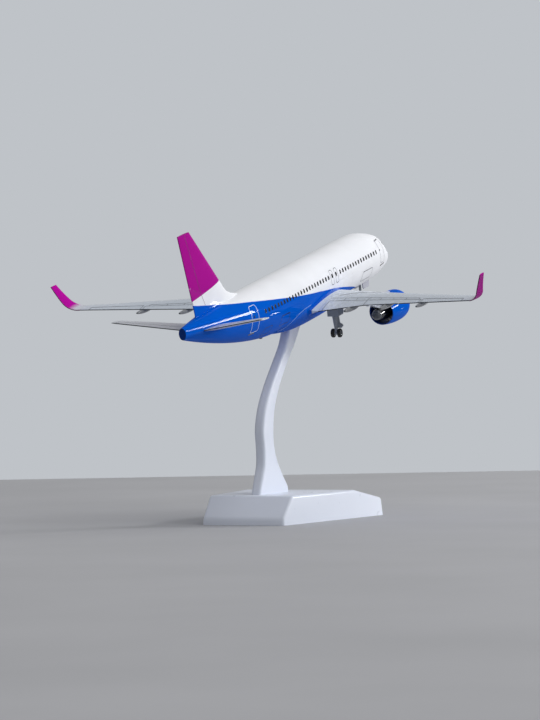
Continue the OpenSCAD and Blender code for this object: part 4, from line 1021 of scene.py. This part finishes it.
def buildCore(side, name):
    e = engine
    noseEnd, end, nozzle = e["coreFront"] + e["coreNose"], e["coreFront"] + e["coreLen"], e["coreExit"]
    core = [(e["coreFront"], 0)]
    core += [(noseEnd - e["coreNose"] * cos(pi / 2 * t), mix(e["coreNoseR"], e["coreR"], sin(pi / 2 * t)))
             for t in steps(e["roundSteps"])]
    core += [(mix(noseEnd, end, t), mix(e["coreR"], nozzle, t * t)) for t in steps(14)[1:]]
    core += [(end, nozzle - e["nozzleEdge"]), (end - e["nozzleDeep"], nozzle - e["nozzleWall"]),
             (end - e["nozzleDeep"], 0)]
    plug = [(end - e["plugFoot"], 0), (end - e["plugFoot"], e["plugFootR"]),
            (end - 0.1, nozzle - e["plugGap"])]
    plug += [(end + e["plugLen"] * sin(pi / 2 * t), e["plugR"] * cos(pi / 2 * t)) for t in steps(12)]
    for piece, profile, finish, node in (("coreCowl_", core, blackEnamel, "engine_core_"),
                                         ("exhaustPlug_", plug, plugEnamel, "exhaust_plug_")):
        bm = bmesh.new()
        turned(bm, side, profile)
        makePiece(piece + name, bm, [finish], "airframe", [node + name], sharp=40)


def buildPylon(side, name):
    start, end = engine["inlet"] + pylon["start"], wingTe(engine["y"]) - pylon["shy"]
    y, axis, under = side * engine["y"], -engine["drop"], wingZ(engine["y"])
    rows = [(start + s if s >= 0 else end + s, axis + engine["cowlR"] + high, axis + low, half)
            for s, high, low, half in pylon["rows"]]
    high, low, half = pylon["end"]
    rows.append((end, under - high, under - low, half))
    bm = bmesh.new()
    loft(bm, [[(-s, y - half, high), (-s, y + half, high), (-s, y + half, low), (-s, y - half, low)]
              for s, high, low, half in rows])
    makePiece("pylon_" + name, bm, [pylonAbs], "airframe", ["engine_core_" + name])


for side, name in sides:
    buildCowl(side, name)
    buildCore(side, name)
    buildPylon(side, name)
print("engines done")

# Stand. A row of the stem is the share of its height, the place ahead of its foot and the length.
stem = {
    "thick": 4, "edge": 1.2, "top": 11.8, "footX": -11.7, "baseTop": 10.7, "rings": 110, "corner": 8,
    "footDeep": 6.5, "plugEdge": 0.25, "tiltFrom": 0.6,
    "rows": [(0, 0, 26.6), (0.036, 0.2, 25.27), (0.106, -1, 18.886), (0.178, -2.2, 13), (0.273, -3.7, 10),
             (0.384, -4.3, 10), (0.51, -2.1, 9), (0.636, 3.1, 7.8), (0.77, 10.7, 7.7), (0.889, 18, 9.135)],
}
# ABS moulded in white with a slight ripple from the mould: pale, with broken soft highlights
standAbs = makeFinish("mouldedAbsStandWhite", "#e3e9f6", flying=False, rough=0.32, gleam=0.4,
                      mottle=0.015, mottleSize=30, wave=0.004)


# A smooth curve between the middle two of four numbers
def through(a, b, c, d, t):
    return 0.5 * (2 * b + (c - a) * t + (2 * a - 5 * b + 4 * c - d) * t * t + (3 * b - a - 3 * c + d) * t**3)


# The value of a column at a place between the rows
def rowCurve(rows, k, col):
    last = len(rows) - 1
    i = min(last - 1, int(k))
    near = (rows[max(0, i - 1)], rows[i], rows[i + 1], rows[min(last, i + 2)])
    return through(*(row[col] for row in near), k - i)


def buildStem():
    head = flight @ Vector((seat["ahead"] - hold["station"], 0, seatLow)) * 1000
    x, low = stem["footX"], stem["baseTop"]
    rows = [(up, x + ahead, length) for up, ahead, length in stem["rows"]] + [(1, head.x, stem["top"])]
    rings = []
    for i in range(stem["rings"] + 1):
        up, spot, length = [rowCurve(rows, (len(rows) - 1) * i / stem["rings"], col) for col in range(3)]
        tilt = radians(hold["pitch"]) * ease(share(up, stem["tiltFrom"], 1))
        z = low + (head.z - low) * up
        ring = roundedPath(0, 0, length / 2, stem["thick"] / 2, stem["edge"], stem["corner"])[:-1]
        rings.append([Vector((spot + px * cos(tilt), py, z + px * sin(tilt))) for px, py in ring])
    bm = bmesh.new()
    loft(bm, rings)
    tongue = seatBoxes(0)[1]
    tongue.transform(Matrix.Scale(1000, 4) @ flight)
    length, thick, _ = seat["tongue"]
    foot = boxAt((x - length / 2, -thick / 2, low - stem["footDeep"]), (x + length / 2, thick / 2, low + 1))
    for part in (tongue, foot):
        bmesh.ops.bevel(part, geom=part.edges[:], offset=stem["plugEdge"], affect="EDGES", segments=2,
                        profile=0.5, material=-1)
        joined = bpy.data.meshes.new("tongue")
        part.to_mesh(joined)
        part.free()
        bm.from_mesh(joined)
        bpy.data.meshes.remove(joined)
    makePiece("stemLeg", bm, [standAbs], "stand", ["stem"], place=bench)


base = {
    "length": 73, "rearWidth": 33.3, "frontWidth": 53.3, "height": 10.7, "rearBand": 2.6, "rearIn": 0.3,
    "frontHeight": 6.9, "frontIn": 0.8, "rearRun": 7.6, "frontRun": 20.3, "lean": 0.6, "edge": 1,
    "edgeSteps": 6, "wall": 1.8, "bandTuck": 0.6, "topTuck": 0.3, "rib": 1.4, "boss": (11.3, 5.5),
    "bossFloor": 2.6, "headHole": 1.8, "under": -2, "over": 14,
}


# Half the base's width, at a length from its rear end and a height
def baseHalf(u, z):
    wide = mix(base["rearWidth"], base["frontWidth"], u / base["length"])
    return wide / 2 - base["lean"] * z / base["height"]


# One side wall of the base, from its corners as length and height
def baseSide(corners, side, shrink=0.0):
    rear = -base["length"] / 2
    return [Vector((rear + u, side * (baseHalf(u, z) - shrink), z)) for u, z in corners]


# The hollow under the base, less the ribs and the boss that takes the stem
def basePockets():
    b = base
    w, rear, top = b["wall"], -b["length"] / 2, b["height"] - b["wall"]
    back, front = w + b["rearIn"], b["length"] - b["frontIn"] - w
    corners = [(back, -1), (back, b["rearBand"] - w * b["bandTuck"]), (b["rearRun"] + w * b["topTuck"], top),
               (b["length"] - b["frontRun"], top), (front, b["frontHeight"] - w), (front, -1)]
    hollow = bmesh.new()
    loft(hollow, [baseSide(corners, -1, w), baseSide(corners, 1, w)])
    long, wide = b["boss"]
    half, x, under, over = b["rib"] / 2, stem["footX"], b["under"], b["over"]
    keep = [boxAt((x - long / 2, -wide / 2, under), (x + long / 2, wide / 2, over)),
            boxAt((rear - 1, -half, under), (-rear + 1, half, over))]
    keep += [boxAt((c - half, -40, under), (c + half, 40, over)) for c in (x, -rear - b["frontRun"])]
    return carve(hollow, keep)


# The slot for the stem's foot and the hole for its screw
def bossHoles():
    x, gap, r = stem["footX"], seat["gap"] / 2, base["headHole"]
    long, thick, _ = seat["tongue"]
    slot = boxAt((x - long / 2 - gap, -thick / 2 - gap, stem["baseTop"] - stem["footDeep"]),
                 (x + long / 2 + gap, thick / 2 + gap, base["over"]))
    hole = bmesh.new()
    deep = base["bossFloor"] + 1
    bmesh.ops.create_cone(hole, cap_ends=True, segments=40, radius1=r, radius2=r, depth=deep,
                          matrix=Matrix.Translation((x, 0, deep / 2 - 1)))
    return slot, hole


def buildBase():
    b = base
    corners = [(0, 0), (b["rearIn"], b["rearBand"]), (b["rearRun"], b["height"]),
               (b["length"] - b["frontRun"], b["height"]), (b["length"] - b["frontIn"], b["frontHeight"]),
               (b["length"], 0)]
    bm = bmesh.new()
    loft(bm, [baseSide(corners, -1), baseSide(corners, 1)])
    bmesh.ops.recalc_face_normals(bm, faces=bm.faces)
    bm.normal_update()
    soft = [edge for edge in bm.edges
            if max(v.co.z for v in edge.verts) > 0.01 and edge.calc_face_angle(0) > radians(12)]
    bmesh.ops.bevel(bm, geom=soft, offset=b["edge"], affect="EDGES", segments=b["edgeSteps"], profile=0.5,
                    material=-1, clamp_overlap=True)
    bm = carve(bm, [basePockets(), *bossHoles()])
    makePiece("baseBody", bm, [standAbs], "stand", ["base"], place=bench, sharp=50)


buildStem()
buildBase()
print("stand done")

# Pieces kept from the frame
# ABS moulded in mid grey with a light gloss, on the legs and the doors beside them
gearAbs = makeFinish("mouldedAbsGearGrey", "#858b94", rough=0.34, coat=0.1, mottle=0.05, mottleSize=3)
# The same plastic on the hubs: darker and duller
hubAbs = makeFinish("mouldedAbsHubGrey", "#6d727b", rough=0.4, mottle=0.05, mottleSize=1.5)
# Moulded rubber with a fine grit: nearly black and matt
tyreRubber = makeFinish("mouldedRubber", "#1a1a1b", rough=0.62, mottle=0.1, mottleSize=1, grit=0.01,
                        gritSize=0.15)
# Drawn steel wire: bright metal with a soft shine
axleSteel = makeFinish("drawnSteelWire", "#b9bcc0", rough=0.25, metal=1.0, mottle=0.04, mottleSize=0.6)
# Machined steel of the screw, a little duller
screwSteel = makeFinish("machinedSteel", "#b9bcc0", flying=False, rough=0.3, metal=1.0, mottle=0.05,
                        mottleSize=0.8)
# White lacquer on the nose gear's doors: pale and glossy
doorLacquer = makeFinish("lacqueredAbsDoor", "#c6c8d4", rough=0.18, coat=0.4)
# The first word that a piece's name holds gives its finish; the rest is gear
frameFinish = {"tyre": tyreRubber, "hub": hubAbs, "axle": axleSteel, "fan": bladeEnamel,
               "spinner": gunmetalEnamel, "nose_door": doorLacquer, "stem_screw": screwSteel, "": gearAbs}

for node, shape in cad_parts.items():
    if shape.hide_render:
        continue
    shape.data.materials.clear()
    shape.data.materials.append(next(finish for word, finish in frameFinish.items() if word in node))
print("frame pieces finished")

# Stage: a pale table that ends behind the model, a pale backdrop, and soft light that is stronger from
# the side of the backdrop. Lengths and the lamps' places are in metres, their power in watts.
stage = {
    "tableFront": -2.5, "tableBack": 0.42, "tableHalf": 3, "tableTurn": 24.37, "tableDrop": 0.00005,
    "tableColour": "#b0b1b5", "backColour": "#bfc3c8", "away": (0.911, 0.413, 0.0),
    "softLow": 0.22, "softHigh": 0.56, "mirrorLow": 0.08, "mirrorHigh": 0.5, "mirrorFrom": 0.72,
}
lamps = {
    "keyWindow": {"place": (0.87, -0.89, 0.465), "aim": (0, 0, 0.075), "size": (0.34, 0.14), "power": 7.4},
    "lowWindow": {"place": (1.11, -0.64, 0.04), "aim": (0, 0, 0.075), "size": (0.07, 0.03), "power": 0.25},
    "sideWindow": {"place": (-0.35, -1.35, 0.62), "aim": (0, 0, 0.075), "size": (1.2, 0.8), "power": 2.9},
    "topSoft": {"place": (0.1, -1.0, 1.9), "aim": (0, 0, 0.06), "size": (2.2, 1.6), "power": 17},
}


def makeFloor():
    near, far = stage["tableFront"], stage["tableBack"]
    place = Matrix.Rotation(radians(stage["tableTurn"]), 4, "Z")
    place @= Matrix.Translation(((near + far) / 2, 0, -stage["tableDrop"]))
    place @= Matrix.Diagonal(((far - near) / 2, stage["tableHalf"], 1, 1))
    bm = bmesh.new()
    bmesh.ops.create_grid(bm, x_segments=1, y_segments=1, size=1, matrix=place)
    table = objectOf("tableTop", bm)
    # Board with matt lacquer: it keeps the soft shadow and hardly mirrors
    table.data.materials.append(makeFinish(
        "mattLacqueredBoard", stage["tableColour"], flying=False, rough=0.7, gleam=0.12, mottle=0.04,
        mottleSize=90, wave=0.0005, waveSize=300))


def makeWorld():
    world = bpy.data.worlds.new("softSky")
    bpy.context.scene.world = world
    world.use_nodes = True
    tree = world.node_tree
    tree.nodes.clear()
    isCamera = put(tree, "LightPath")
    isGlossy = isCamera.node.outputs["Is Glossy Ray"]
    toward = put(tree, "VectorMath", {0: put(tree, "TexCoord"), 1: stage["away"]}, out=1,
                 operation="DOT_PRODUCT")
    soft = put(tree, "MapRange", [toward, -1.0, 1.0, stage["softLow"], stage["softHigh"]])
    gloss = put(tree, "MapRange", [toward, stage["mirrorFrom"], 1.0, stage["mirrorLow"],
                                   stage["mirrorHigh"]])
    light, mirrored = [put(tree, "Background", {0: (1.0, 1.0, 1.0, 1.0), 1: power})
                       for power in (soft, gloss)]
    back = put(tree, "Background", {0: paintOf(stage["backColour"]), 1: 1.0})
    lit = put(tree, "MixShader", [isGlossy, light, mirrored])
    shown = put(tree, "MixShader", [isCamera, lit, back])
    put(tree, "OutputWorld", [shown])


def addLamp(name, lamp):
    data = bpy.data.lights.new(name, "AREA")
    data.shape = "RECTANGLE"
    data.size, data.size_y = lamp["size"]
    data.energy = lamp["power"]
    light = bpy.data.objects.new(name, data)
    light.location = lamp["place"]
    light.rotation_euler = (Vector(lamp["aim"]) - Vector(lamp["place"])).to_track_quat("-Z", "Y").to_euler()
    bpy.context.scene.collection.objects.link(light)


makeFloor()
makeWorld()
for name, lamp in lamps.items():
    addLamp(name, lamp)
print("stage done")
